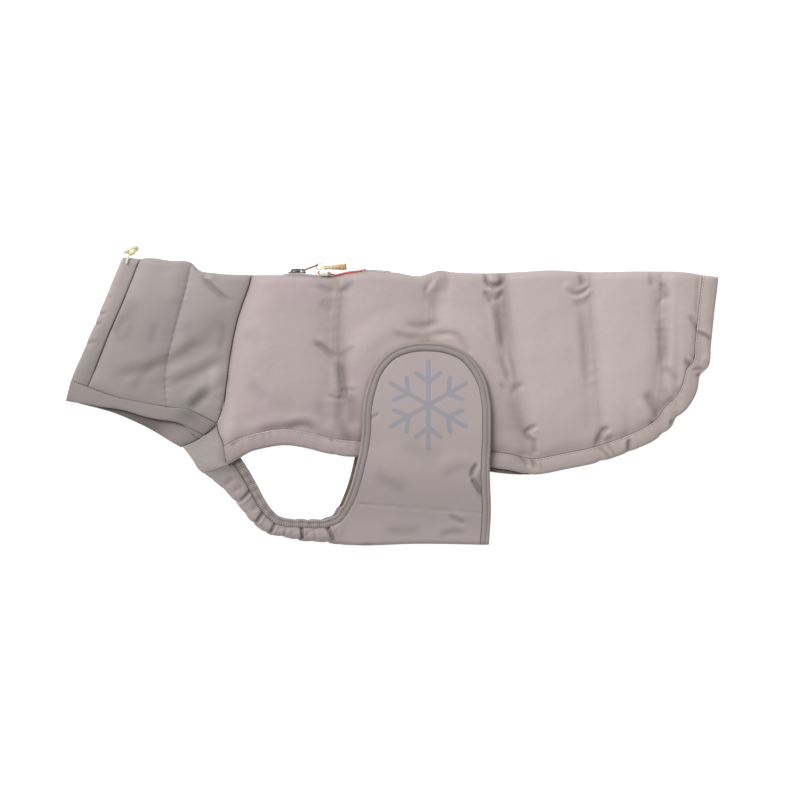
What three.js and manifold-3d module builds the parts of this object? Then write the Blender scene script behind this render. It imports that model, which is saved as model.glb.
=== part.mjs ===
// A padded dog winter coat, laid flat on its right side with the spine fold at the top and the neck to the left.
// Millimetres. X runs from neck to tail, Y from belly to spine and Z up from the table, so the left side shows.
import * as THREE from "three";
import { mergeVertices } from "three/addons/utils/BufferGeometryUtils.js";
import Module from "manifold-3d";

const wasm = await Module();
wasm.setup();

// Driving dimensions. Every drop in the tables below is measured down from the spine.
const BACK_LENGTH = 400;
const SEAM_GAP = 0.35;
const REST_GAP = 0.4;
const HEM_WIDTH = 13.5;
const BINDING_WIDTH = 7.6;

// Walls and stacking heights.
const SHELL_WALL = 3.4;
const PUFF = 5;
const LAYER_GAP = 1.9;
const HEM_TOP = 8.8;
const DOME_RISE = 6.6;
const DOME_REACH = 22;
const SHELL_FOLD = 7;
const COLLAR_WALL = 3;
const COLLAR_TOP_AT_SEAM = 8;
const COLLAR_RISE = 4;
const COLLAR_REACH = 18;
const COLLAR_PUFF = 2.6;
const COLLAR_FOLD = 5.6;
const COLLAR_LOWER = 3.2;
const KNIT_WALL = 1.6;
const KNIT_PITCH = 2.25;
const PANEL_WALL = 2.9;
const BELLY_FOLD = 3.6;
const BELLY_LIFT = 3.9;
const STRAP_UNDER = 3.8;
const STRAP_WALL = 2.7;
const FAR_PANEL_SHIFT = 3;

// Outlines of the cut pieces as they lie.
const SPINE = [
  { x: 0, drop: 2.6 },
  { x: 41.4, drop: 2.6 },
  { x: 70.5, drop: 3 },
  { x: 82, drop: 0.5 },
  { x: 122.7, drop: 0.4 },
  { x: 145.9, drop: 3 },
  { x: 153.6, drop: 0.6 },
  { x: 160.4, drop: -1.2 },
  { x: 171, drop: 0 },
  { x: 229.8, drop: 0 },
  { x: 253.8, drop: -1.5 },
  { x: 289.8, drop: 0 },
  { x: 341.2, drop: -0.6 },
  { x: 375.4, drop: 0.6 },
  { x: BACK_LENGTH - HEM_WIDTH, drop: 2.6 },
];
const HEM = [
  { x: -21.3, drop: 162.7 },
  { x: -7.5, drop: 155.9 },
  { x: 8.8, drop: 151.3 },
  { x: 28.5, drop: 148.4 },
  { x: 48.2, drop: 151.2 },
  { x: 62.8, drop: 155 },
  { x: 75.6, drop: 157.3 },
  { x: 113.3, drop: 158.9 },
  { x: 154.4, drop: 162.7 },
  { x: 187, drop: 167.9 },
  { x: 205.8, drop: 171.3 },
  { x: 225.5, drop: 173.4 },
  { x: 245.2, drop: 173.4 },
  { x: 269.2, drop: 168.9 },
  { x: 298.3, drop: 162.7 },
  { x: 324, drop: 153.7 },
  { x: 348, drop: 142.2 },
  { x: 359.3, drop: 132.8 },
  { x: 363.8, drop: 125.8 },
  { x: 373.7, drop: 116.1 },
  { x: 381.4, drop: 102.4 },
  { x: 385.2, drop: 88.6 },
  { x: 391.3, drop: 80.5 },
  { x: 393.4, drop: 62.5 },
  { x: 396.4, drop: 33.7 },
  { x: BACK_LENGTH, drop: 4.1 },
];
const NECK_SEAM = [
  { x: 0, drop: 2.6 },
  { x: -8.3, drop: 27.9 },
  { x: -13, drop: 39.1 },
  { x: -18.6, drop: 74.3 },
  { x: -21.3, drop: 94.8 },
  { x: -24.2, drop: 115.2 },
  { x: -29.7, drop: 129.8 },
];
const GUSSET_SEAM = [
  { x: -29.7, drop: 129.8 },
  { x: -27.8, drop: 138.5 },
  { x: -24.6, drop: 145.4 },
  { x: -23.6, drop: 149.2 },
];
const HEM_END = [
  { x: -23, drop: 158 },
  { x: -22.1, drop: 163.3 },
  { x: -20.8, drop: 163.9 },
  { x: -14.5, drop: 161 },
  { x: -9.9, drop: 159.2 },
];
const COLLAR_TOP = [
  { x: -95.7, drop: -11.2 },
  { x: -90.5, drop: -12 },
  { x: -70, drop: -9.8 },
  { x: -51.5, drop: -7.8 },
  { x: -45.1, drop: -1.7 },
  { x: -31.4, drop: 0.9 },
  { x: 0, drop: 2.6 },
];
const FRONT_EDGE = [
  { x: -110.5, drop: -12.6 },
  { x: -126.5, drop: 25.7 },
  { x: -132.5, drop: 40.3 },
  { x: -155.1, drop: 92.9 },
];
const CASING_SEAM = [
  { x: -95.7, drop: -11.2 },
  { x: -111.4, drop: 27.9 },
  { x: -118.8, drop: 44.5 },
  { x: -140.2, drop: 98.5 },
];
const COLLAR_SEAM = [
  { x: -155.1, drop: 92.9 },
  { x: -140.2, drop: 98.5 },
  { x: -117.1, drop: 106.9 },
  { x: -98.4, drop: 111.2 },
  { x: -71.7, drop: 116.1 },
  { x: -51.1, drop: 119 },
  { x: -42.6, drop: 123.2 },
  { x: -29.7, drop: 129.8 },
];
const THROAT_SEAM = [
  { x: -29.7, drop: 129.8 },
  { x: -39, drop: 138.5 },
  { x: -48.3, drop: 145 },
  { x: -59.4, drop: 149.6 },
];
const GUSSET_FOLD = [
  { x: -59.4, drop: 149.6 },
  { x: -51.1, drop: 160.8 },
  { x: -46.4, drop: 168.4 },
  { x: -42, drop: 172.4 },
];
const STRAP_END = [
  { x: -42, drop: 172.4 },
  { x: -31.5, drop: 170 },
  { x: -21.3, drop: 165.8 },
  { x: -9.6, drop: 160 },
];
const BELLY_FOLD_LINE = [
  { x: -40.8, drop: 173 },
  { x: -23.7, drop: 187.2 },
  { x: -11.7, drop: 200.4 },
  { x: 1.1, drop: 215.8 },
  { x: 13.1, drop: 224.6 },
  { x: 28.5, drop: 227.8 },
  { x: 41.4, drop: 230.7 },
  { x: 60, drop: 232 },
  { x: 74, drop: 233.8 },
  { x: 93.6, drop: 234.6 },
  { x: 137, drop: 233.2 },
  { x: 203.3, drop: 233.8 },
];
const BELLY_EDGE = [
  { x: -9.2, drop: 160.6 },
  { x: -4.3, drop: 167.4 },
  { x: 4.9, drop: 183.3 },
  { x: 10.8, drop: 194.1 },
  { x: 16.7, drop: 202.9 },
  { x: 22.5, drop: 208.4 },
  { x: 30, drop: 211 },
  { x: 39.3, drop: 211.6 },
  { x: 52.1, drop: 212 },
  { x: 64, drop: 211.4 },
  { x: 71, drop: 208.6 },
  { x: 76.9, drop: 201.3 },
  { x: 84.2, drop: 185 },
  { x: 89.3, drop: 167 },
  { x: 93.2, drop: 148.2 },
  { x: 94.6, drop: 136.7 },
  { x: 95.3, drop: 117.6 },
  { x: 98.8, drop: 99.9 },
  { x: 105.6, drop: 82.1 },
  { x: 117.9, drop: 68.4 },
  { x: 134.3, drop: 61.6 },
  { x: 150.7, drop: 60.2 },
  { x: 168.4, drop: 62.3 },
  { x: 183.5, drop: 69.1 },
  { x: 193, drop: 79.4 },
  { x: 199.8, drop: 91.6 },
  { x: 203.9, drop: 109.4 },
  { x: 204.9, drop: 136.7 },
  { x: 203.8, drop: 170.9 },
  { x: 204.9, drop: 206.4 },
  { x: 203.3, drop: 233.8 },
];

// Ribs of the shell: where each starts on the spine and where it lands on the hem. The quilt lines are among them.
const SHELL_RIBS = [
  { spine: 0, hem: -21.3, channel: 0 },
  { spine: 33, hem: 28.5, channel: 0.42 },
  { spine: 75.6, hem: 75.6, channel: 1 },
  { spine: 152.7, hem: 155.3, channel: 2 },
  { spine: 206.7, hem: 232, channel: 3 },
  { spine: 280.3, hem: 299.2, channel: 4 },
  { spine: 341.2, hem: 353, channel: 5 },
  { spine: 366, hem: 378, channel: 5.6 },
  { spine: BACK_LENGTH - HEM_WIDTH, hem: 391.3, channel: 6 },
];

// Where the elastic in the hem draws the cloth into a short valley.
const HEM_PUCKERS = [
  { x: -8, depth: 0.8, width: 5 },
  { x: 72, depth: 1, width: 5 },
  { x: 236, depth: 2, width: 6 },
  { x: 299, depth: 1.8, width: 6 },
  { x: 322, depth: 1.2, width: 4 },
  { x: 352, depth: 2.2, width: 6 },
  { x: 364, depth: 1.8, width: 4 },
  { x: 385, depth: 2, width: 4 },
];

// Gathers across the chest strap, in millimetres along it from its neck end.
const STRAP_GATHERS = [
  { along: 22, depth: 0.7, width: 5 },
  { along: 36, depth: 1.2, width: 4 },
  { along: 49, depth: 1, width: 4 },
  { along: 60, depth: 1.6, width: 4 },
  { along: 73, depth: 1.6, width: 3.5 },
  { along: 88, depth: 1, width: 4 },
  { along: 101, depth: 1.9, width: 3.5 },
  { along: 114, depth: 1, width: 4 },
  { along: 127, depth: 1.9, width: 4 },
];

// The knit throat panel: its seam, its front fold, its lower edge and how far the front fold tucks back under.
const THROAT_SECTIONS = [
  { seam: 0, fold: 17.2, edgeX: -158.6, edgeDrop: 108.2, tuck: 9 },
  { seam: 0.12, fold: 14.8, edgeX: -147.1, edgeDrop: 112, tuck: 9 },
  { seam: 0.27, fold: 12.6, edgeX: -131.6, edgeDrop: 116, tuck: 9 },
  { seam: 0.43, fold: 11.6, edgeX: -115, edgeDrop: 121, tuck: 9 },
  { seam: 0.6, fold: 12.4, edgeX: -93.1, edgeDrop: 130.4, tuck: 8 },
  { seam: 0.77, fold: 14, edgeX: -78.5, edgeDrop: 138.3, tuck: 5 },
  { seam: 0.9, fold: 14, edgeX: -68.3, edgeDrop: 144.8, tuck: -3 },
  { seam: 1, fold: 14, edgeX: -59.4, edgeDrop: 149.6, tuck: -6 },
];

const MATERIALS = {
  shell: cloth("#b5a6a5", 0.62),
  collar: cloth("#9d9191", 0.72),
  knit: cloth("#968c8a", 0.95),
  panel: cloth("#9f9493", 0.7),
  binding: cloth("#a19693", 0.8),
  lining: cloth("#6a5249", 0.9),
  metal: new THREE.MeshStandardMaterial({ color: "#77736e", roughness: 0.35, metalness: 0.9 }),
  cream: cloth("#f1e7cd", 0.8),
  orange: cloth("#dba25c", 0.8),
  red: cloth("#b9473c", 0.8),
  bead: new THREE.MeshStandardMaterial({ color: "#d9d7d2", roughness: 0.25, metalness: 0 }),
};

function cloth(color, roughness) {
  return new THREE.MeshStandardMaterial({ color, roughness, metalness: 0 });
}

// An S-curve from 0 at low to 1 at high.
function ease(low, high, value) {
  const share = THREE.MathUtils.clamp((value - low) / (high - low), 0, 1);
  return share * share * (3 - 2 * share);
}

// A bell of height 1 and the given half width.
function bell(value, width) {
  return Math.exp(-((value / width) ** 2));
}

// Hermite interpolation between knots, with slopes from the neighbouring spans.
function smooth(keys, values, key) {
  const last = keys.length - 1;
  const at = THREE.MathUtils.clamp(key, keys[0], keys[last]);
  let span = 0;
  while (span < last - 1 && at > keys[span + 1]) span += 1;
  const rise = (i) => (values[i + 1] - values[i]) / (keys[i + 1] - keys[i]);
  const slope = (i) => {
    if (i === 0) return rise(0);
    if (i === last) return rise(last - 1);
    const before = keys[i] - keys[i - 1];
    const after = keys[i + 1] - keys[i];
    return (rise(i - 1) * after + rise(i) * before) / (before + after);
  };
  const width = keys[span + 1] - keys[span];
  const t = (at - keys[span]) / width;
  const stay = 1 - t;
  return (
    values[span] * (1 + 2 * t) * stay * stay +
    values[span + 1] * t * t * (3 - 2 * t) +
    slope(span) * width * t * stay * stay -
    slope(span + 1) * width * t * t * stay
  );
}

function column(table, key, value, at) {
  return smooth(
    table.map((row) => row[key]),
    table.map((row) => row[value]),
    at,
  );
}

// A smooth line through a table's rows, read by its share of the whole length.
class Line {
  constructor(rows) {
    this.points = rows.map((row) => new THREE.Vector2(row.x, -row.drop));
    this.reach = [0];
    for (let i = 1; i < rows.length; i += 1) {
      this.reach.push(this.reach[i - 1] + this.points[i].distanceTo(this.points[i - 1]));
    }
    this.length = this.reach[rows.length - 1];
  }

  at(share) {
    const along = share * this.length;
    return new THREE.Vector2(
      smooth(this.reach, this.points.map((p) => p.x), along),
      smooth(this.reach, this.points.map((p) => p.y), along),
    );
  }

  // The share at which a line that always runs towards +X passes x.
  shareAtX(x) {
    let low = 0;
    let high = 1;
    for (let step = 0; step < 30; step += 1) {
      const middle = (low + high) / 2;
      if (this.at(middle).x < x) low = middle;
      else high = middle;
    }
    return (low + high) / 2;
  }

  // The left normal, averaged over a window so that notches don't swing it.
  normal(share, window) {
    const half = window / this.length;
    const ahead = this.at(Math.min(1, share + half));
    const behind = this.at(Math.max(0, share - half));
    const run = ahead.sub(behind).normalize();
    return new THREE.Vector2(-run.y, run.x);
  }

  samples(count) {
    return Array.from({ length: count + 1 }, (_, i) => this.at(i / count));
  }
}

// Distance from a point to a chain of segments.
function distanceTo(chain, point) {
  let nearest = Infinity;
  for (let i = 1; i < chain.length; i += 1) {
    const start = chain[i - 1];
    const run = chain[i].clone().sub(start);
    const length = Math.max(run.lengthSq(), 1e-9);
    const share = THREE.MathUtils.clamp(point.clone().sub(start).dot(run) / length, 0, 1);
    nearest = Math.min(nearest, start.clone().addScaledVector(run, share).distanceTo(point));
  }
  return nearest;
}

function inside(polygon, point) {
  let within = false;
  for (let i = 0, j = polygon.length - 1; i < polygon.length; j = i, i += 1) {
    const a = polygon[i];
    const b = polygon[j];
    if (a.y > point.y !== b.y > point.y && point.x < ((b.x - a.x) * (point.y - a.y)) / (b.y - a.y) + a.x) {
      within = !within;
    }
  }
  return within;
}

const hemLine = new Line(HEM);
const hemChain = hemLine.samples(90);
const neckLine = new Line(NECK_SEAM);
const gussetSeamLine = new Line(GUSSET_SEAM);
const collarTopLine = new Line(COLLAR_TOP);
const frontLine = new Line(FRONT_EDGE);
const casingLine = new Line(CASING_SEAM);
const collarSeamLine = new Line(COLLAR_SEAM);
const collarSeamChain = collarSeamLine.samples(40);
const throatSeamLine = new Line(THROAT_SEAM);
const gussetFoldLine = new Line(GUSSET_FOLD);
const strapEndLine = new Line(STRAP_END);
const bellyFoldLine = new Line(BELLY_FOLD_LINE);
const bellyFoldChain = bellyFoldLine.samples(30);
const bellyEdgeLine = new Line(BELLY_EDGE);
const spineLine = new Line(SPINE);
const flapOutline = bellyEdgeLine.samples(80).concat(bellyFoldLine.samples(40).reverse());
const shellOutline = hemChain.concat(spineLine.samples(20).reverse());

// How far inside the hem's edge a point lies, negative outside.
function depthInShell(point) {
  const distance = distanceTo(hemChain, point);
  return inside(shellOutline, point) ? distance : -distance;
}

// The right-hand belly flap lies under the coat and lifts the cloth above it.
function lift(point) {
  const outside = inside(flapOutline, point) ? 0 : distanceTo(flapOutline, point);
  return BELLY_LIFT * (1 - ease(13, 36, outside));
}

// The top of the pile without its quilting: low at the hem seam and domed inside.
function dome(point) {
  const fromSeam = Math.max(0, depthInShell(point) - HEM_WIDTH);
  return lift(point) + HEM_TOP + DOME_RISE * (1 - Math.exp(-fromSeam / DOME_REACH));
}

// The hem seam: the hem's edge moved in by its width, square to the neck seam and the spine at its ends.
function hemSeam(share, width = HEM_WIDTH) {
  const normal = hemLine.normal(share, 16);
  const along = share * hemLine.length;
  const neckEnd = new THREE.Vector2(-2.3, HEM_WIDTH).normalize();
  const tailEnd = new THREE.Vector2(-HEM_WIDTH, 1.5).normalize();
  const turned = neckEnd
    .multiplyScalar(1 - ease(0, 30, along))
    .addScaledVector(normal, ease(0, 30, along) * ease(0, 34, hemLine.length - along))
    .addScaledVector(tailEnd, 1 - ease(0, 34, hemLine.length - along))
    .normalize();
  return hemLine.at(share).addScaledVector(turned, width);
}

// A four-sided patch between two lines that run the same way and the two that join their ends.
function patch(top, bottom, left, right) {
  return (s, t) => {
    const corner = (line, share) => line(share);
    const result = new THREE.Vector2();
    result.addScaledVector(top(s), 1 - t).addScaledVector(bottom(s), t);
    result.addScaledVector(left(t), 1 - s).addScaledVector(right(t), s);
    result.addScaledVector(corner(top, 0), -(1 - s) * (1 - t)).addScaledVector(corner(top, 1), -s * (1 - t));
    result.addScaledVector(corner(bottom, 0), -(1 - s) * t).addScaledVector(corner(bottom, 1), -s * t);
    return result;
  };
}

// One closed body between an outer and an inner grid of points, joined round the rim.
function solidBetween(outer, inner) {
  const rows = outer.length;
  const columns = outer[0].length;
  const positions = [...outer.flat(), ...inner.flat()].flatMap((p) => [p.x, p.y, p.z]);
  const out = (i, j) => i * columns + j;
  const within = (i, j) => rows * columns + i * columns + j;
  const index = [];
  const quad = (a, b, c, d) => index.push(a, b, c, a, c, d);
  for (let i = 0; i < rows - 1; i += 1) {
    for (let j = 0; j < columns - 1; j += 1) {
      quad(out(i, j), out(i, j + 1), out(i + 1, j + 1), out(i + 1, j));
      quad(within(i, j), within(i + 1, j), within(i + 1, j + 1), within(i, j + 1));
    }
    quad(out(i, 0), out(i + 1, 0), within(i + 1, 0), within(i, 0));
    quad(out(i, columns - 1), within(i, columns - 1), within(i + 1, columns - 1), out(i + 1, columns - 1));
  }
  for (let j = 0; j < columns - 1; j += 1) {
    quad(out(0, j), within(0, j), within(0, j + 1), out(0, j + 1));
    quad(out(rows - 1, j), out(rows - 1, j + 1), within(rows - 1, j + 1), within(rows - 1, j));
  }
  const geometry = new THREE.BufferGeometry();
  geometry.setAttribute("position", new THREE.Float32BufferAttribute(positions, 3));
  geometry.setIndex(index);
  if (signedVolume(geometry) < 0) {
    const turned = [];
    for (let i = 0; i < index.length; i += 3) turned.push(index[i], index[i + 2], index[i + 1]);
    geometry.setIndex(turned);
  }
  geometry.computeVertexNormals();
  return geometry;
}

function signedVolume(geometry) {
  const place = geometry.getAttribute("position");
  const order = geometry.index.array;
  const [a, b, c] = [new THREE.Vector3(), new THREE.Vector3(), new THREE.Vector3()];
  let volume = 0;
  for (let i = 0; i < order.length; i += 3) {
    a.fromBufferAttribute(place, order[i]);
    b.fromBufferAttribute(place, order[i + 1]);
    c.fromBufferAttribute(place, order[i + 2]);
    volume += a.dot(b.cross(c)) / 6;
  }
  return volume;
}

const even = (count) => Array.from({ length: count + 1 }, (_, i) => i / count);
const FOLD_STEPS = 6;

// A sheet folded back on itself. plan(s, t) runs from the fold at t = 0 to the edge at t = 1, and heights gives
// the four faces there: the upper layer's top and underside, and the lower layer's top and underside. The stops
// are each layer's rows, from 0 where the fold ends to 1 at the edge.
function foldedSheet({ plan, columns, upperStops, lowerStops, fold, wall, length, heights, shift }) {
  const outer = [];
  const inner = [];
  const moved = shift ?? (() => new THREE.Vector2());
  const levels = (s, t, lower) => heights(plan(s, t), s, t, lower);
  for (let i = 0; i <= columns; i += 1) {
    const s = i / columns;
    const reach = length(s);
    const start = fold / reach;
    const outerRow = [];
    const innerRow = [];
    const lay = (row, t, z, lower) => {
      const place = plan(s, t).add(moved(s, t, lower));
      row.push(new THREE.Vector3(place.x, place.y, z));
    };
    for (const stop of [...upperStops].reverse()) {
      const t = start + (1 - start) * stop;
      const at = levels(s, t, false);
      lay(outerRow, t, at.top, false);
      lay(innerRow, t, at.under, false);
    }
    const upper = levels(s, start, false);
    const below = levels(s, start, true);
    for (let j = 1; j < FOLD_STEPS; j += 1) {
      const angle = (Math.PI * j) / FOLD_STEPS;
      const turn = 1 - Math.sin(angle);
      const between = (high, low) => (high + low) / 2 + ((high - low) / 2) * Math.cos(angle);
      const isLower = j > FOLD_STEPS / 2;
      lay(outerRow, (fold * turn) / reach, between(upper.top, below.lowerUnder), isLower);
      lay(innerRow, (wall + (fold - wall) * turn) / reach, between(upper.under, below.lowerTop), isLower);
    }
    for (const stop of lowerStops) {
      const t = start + (1 - start) * stop;
      const at = levels(s, t, true);
      lay(outerRow, t, at.lowerUnder, true);
      lay(innerRow, t, at.lowerTop, true);
    }
    outer.push(outerRow);
    inner.push(innerRow);
  }
  return solidBetween(outer, inner);
}

function named(name, geometry, material) {
  const mesh = new THREE.Mesh(geometry, material);
  mesh.name = name;
  return mesh;
}

// A closed mesh as a solid that can be joined or cut, and back again.
function solidFrom(geometry) {
  const bare = geometry.clone();
  bare.deleteAttribute("normal");
  bare.deleteAttribute("uv");
  const merged = mergeVertices(bare, 1e-4);
  return new wasm.Manifold(
    new wasm.Mesh({
      numProp: 3,
      vertProperties: merged.getAttribute("position").array,
      triVerts: new Uint32Array(merged.index.array),
    }),
  );
}

function geometryFrom(solid) {
  const { vertProperties, triVerts } = solid.getMesh();
  const geometry = new THREE.BufferGeometry();
  geometry.setAttribute("position", new THREE.BufferAttribute(new Float32Array(vertProperties), 3));
  geometry.setIndex(Array.from(triVerts));
  geometry.computeVertexNormals();
  return geometry;
}

// Quilting: the padding swells to 1 between the stitched lines and falls to 0 on them.
function swell(channel) {
  const across = channel - Math.floor(channel);
  return 1 - Math.abs(2 * across - 1) ** 2.6;
}

function pucker(x, fromSeam) {
  return HEM_PUCKERS.reduce(
    (sum, row) => sum + row.depth * bell(x - row.x, row.width) * Math.exp(-fromSeam / 14),
    0,
  );
}

// The upper hem rides up a little just behind the flap, so that the lining of the lower one shows.
function hemRise(x) {
  return 3.8 * ease(150, 190, x) * (1 - ease(216, 243, x));
}

const SPINE_END = SHELL_RIBS[SHELL_RIBS.length - 1].spine;
const TAIL_CORNER = hemLine.shareAtX(391.3);
const SHELL_COLUMNS = 42;
const SHELL_STOPS = { upper: even(13), lower: [0, 0.3, 0.55, 0.78, 1] };
const hemShareAt = (s) => hemLine.shareAtX(column(SHELL_RIBS, "spine", "hem", s * SPINE_END));

function shellPlan() {
  const top = (s) => {
    const x = s * SPINE_END;
    return new THREE.Vector2(x, -column(SPINE, "x", "drop", x));
  };
  const seam = (share) => hemSeam(share, HEM_WIDTH + SEAM_GAP);
  const bottom = (s) => seam(hemShareAt(s));
  const left = (t) => {
    const whole = neckLine.length + gussetSeamLine.length;
    const along = t * whole;
    if (along <= neckLine.length) return neckLine.at(along / neckLine.length);
    return gussetSeamLine.at((along - neckLine.length) / gussetSeamLine.length);
  };
  const right = (t) => seam(1 + (TAIL_CORNER - 1) * t);
  return patch(top, bottom, left, right);
}

function shellLevels(point, s) {
  const fromSeam = Math.max(0, depthInShell(point) - HEM_WIDTH);
  const channel = column(SHELL_RIBS, "spine", "channel", s * SPINE_END);
  const lowerUnder = lift(point);
  const lowerTop = lowerUnder + SHELL_WALL;
  const full = dome(point);
  const valley = (0.7 + PUFF * ease(0, 26, fromSeam)) * (1 - swell(channel));
  const top = full - Math.min(valley + pucker(point.x, fromSeam), full - lowerTop - LAYER_GAP - 2.4);
  const under = Math.max(lowerTop + LAYER_GAP, full - PUFF - SHELL_WALL);
  return { top, under, lowerTop, lowerUnder };
}

const shellMap = shellPlan();

function backPanel() {
  const plan = shellMap;
  return foldedSheet({
    plan,
    columns: SHELL_COLUMNS,
    upperStops: SHELL_STOPS.upper,
    lowerStops: SHELL_STOPS.lower,
    fold: SHELL_FOLD,
    wall: SHELL_WALL,
    length: (s) => plan(s, 0).distanceTo(plan(s, 1)),
    heights: shellLevels,
    shift: (s, t, lower) => new THREE.Vector2(0, lower ? 0 : hemRise(plan(s, t).x) * ease(0.6, 1, t)),
  });
}

// Rows for a band sewn along a panel's edge: at the panel's own columns, then at its rows up the last side.
function bandStops(shares, corner, sideStops, sideStart, bandStart) {
  const sides = sideStops.map((stop) => 1 + (corner - 1) * (sideStart + (1 - sideStart) * stop));
  const all = [...shares, ...sides].map((share) => (1 - share - bandStart) / (1 - bandStart));
  const within = all.filter((stop) => stop > 0.003).sort((a, b) => a - b);
  const apart = within.filter((stop, i) => i === 0 || stop - within[i - 1] > 0.001);
  return [0, ...apart.slice(0, -1), 1];
}

// The turned hem runs from the upper side's neck seam round the tail and back along the lower side.
function hemCasing() {
  const plan = (s, t) => hemSeam(1 - t, HEM_WIDTH * (1 - s));
  const shares = even(SHELL_COLUMNS).map(hemShareAt);
  const tail = hemSeam(TAIL_CORNER).distanceTo(new THREE.Vector2(SPINE_END, -2.6));
  const fold = 4.6;
  const stops = (rows) => bandStops(shares, TAIL_CORNER, rows, SHELL_FOLD / tail, fold / hemLine.length);
  return foldedSheet({
    plan,
    columns: 2,
    upperStops: stops(SHELL_STOPS.upper),
    lowerStops: stops(SHELL_STOPS.lower),
    fold,
    wall: SHELL_WALL,
    length: () => hemLine.length,
    heights: (point, s, t) => {
      const under = lift(point);
      const round = 0.7 * Math.sin(Math.PI * s);
      const nearTail = 1 - ease(0, 0.03, t);
      const top = under + HEM_TOP - 0.5 + round - pucker(point.x, 0) * 0.5 + 0.6 * nearTail;
      const lowerTop = under + SHELL_WALL - 0.2;
      return { top: top - 0.8 * s * s, under: lowerTop + LAYER_GAP + 0.2, lowerTop, lowerUnder: under };
    },
    shift: (s, t, lower) => new THREE.Vector2(0, lower ? 0 : hemRise(plan(s, t).x)),
  });
}

function collarDome(point) {
  const fromSeam = distanceTo(collarSeamChain, point);
  return COLLAR_TOP_AT_SEAM + COLLAR_RISE * (1 - Math.exp(-fromSeam / COLLAR_REACH));
}

const CASING_END = 0.1225;
const COLLAR_QUILT = [
  { share: 0, channel: 0 },
  { share: 0.44, channel: 1 },
  { share: 0.62, channel: 1.36 },
  { share: 1, channel: 2 },
];

function collarPlan() {
  const bottomStart = CASING_END;
  return patch(
    (s) => collarTopLine.at(s),
    (s) => collarSeamLine.at(bottomStart + (1 - bottomStart) * s),
    (t) => casingLine.at(t),
    (t) => neckLine.at(t).add(new THREE.Vector2(-0.8 * Math.sin(Math.PI * t) ** 0.4, 0)),
  );
}

function collarPanel() {
  const plan = collarPlan();
  const edge = 1 - SEAM_GAP / 120;
  const clear = (s, t) => plan(SEAM_GAP / 90 + s * (1 - (2 * SEAM_GAP) / 90), t * edge);
  return foldedSheet({
    plan: clear,
    columns: 16,
    upperStops: even(9),
    lowerStops: even(5),
    fold: COLLAR_FOLD,
    wall: COLLAR_WALL,
    length: (s) => clear(s, 0).distanceTo(clear(s, 1)),
    heights: (point, s) => {
      const full = collarDome(point);
      const fromSeam = distanceTo(collarSeamChain, point);
      const channel = column(COLLAR_QUILT, "share", "channel", s);
      const valley = (0.5 + COLLAR_PUFF * ease(0, 20, fromSeam)) * (1 - swell(channel));
      return {
        top: full - valley,
        under: Math.max(COLLAR_LOWER + 1.3, full - COLLAR_PUFF - 2.4),
        lowerTop: COLLAR_LOWER,
        lowerUnder: 0,
      };
    },
  });
}

// The drawstring tunnel along the front edge of the collar.
function collarCasing() {
  const middle = new THREE.Vector2(-103.4, 14.6);
  const top = (s) => {
    const start = frontLine.at(0);
    const end = casingLine.at(0);
    const bow = 1.4 * Math.sin(Math.PI * s);
    return start.lerp(end, s).addScaledVector(middle.clone().normalize(), bow);
  };
  const whole = patch(
    top,
    (s) => collarSeamLine.at(CASING_END * s),
    (t) => frontLine.at(t),
    (t) => casingLine.at(t),
  );
  const plan = (s, t) => whole(s * (1 - SEAM_GAP / 16), t * (1 - SEAM_GAP / 110));
  return foldedSheet({
    plan,
    columns: 4,
    upperStops: even(10),
    lowerStops: even(4),
    fold: 5,
    wall: 2.4,
    length: (s) => plan(s, 0).distanceTo(plan(s, 1)),
    heights: (point, s) => {
      const full = collarDome(point) - 2.6;
      const round = 1.9 * Math.sin(Math.PI * THREE.MathUtils.clamp(0.1 + 0.8 * s, 0, 1));
      return { top: full + round, under: full - 2, lowerTop: 2.4, lowerUnder: 0 };
    },
  });
}

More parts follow.
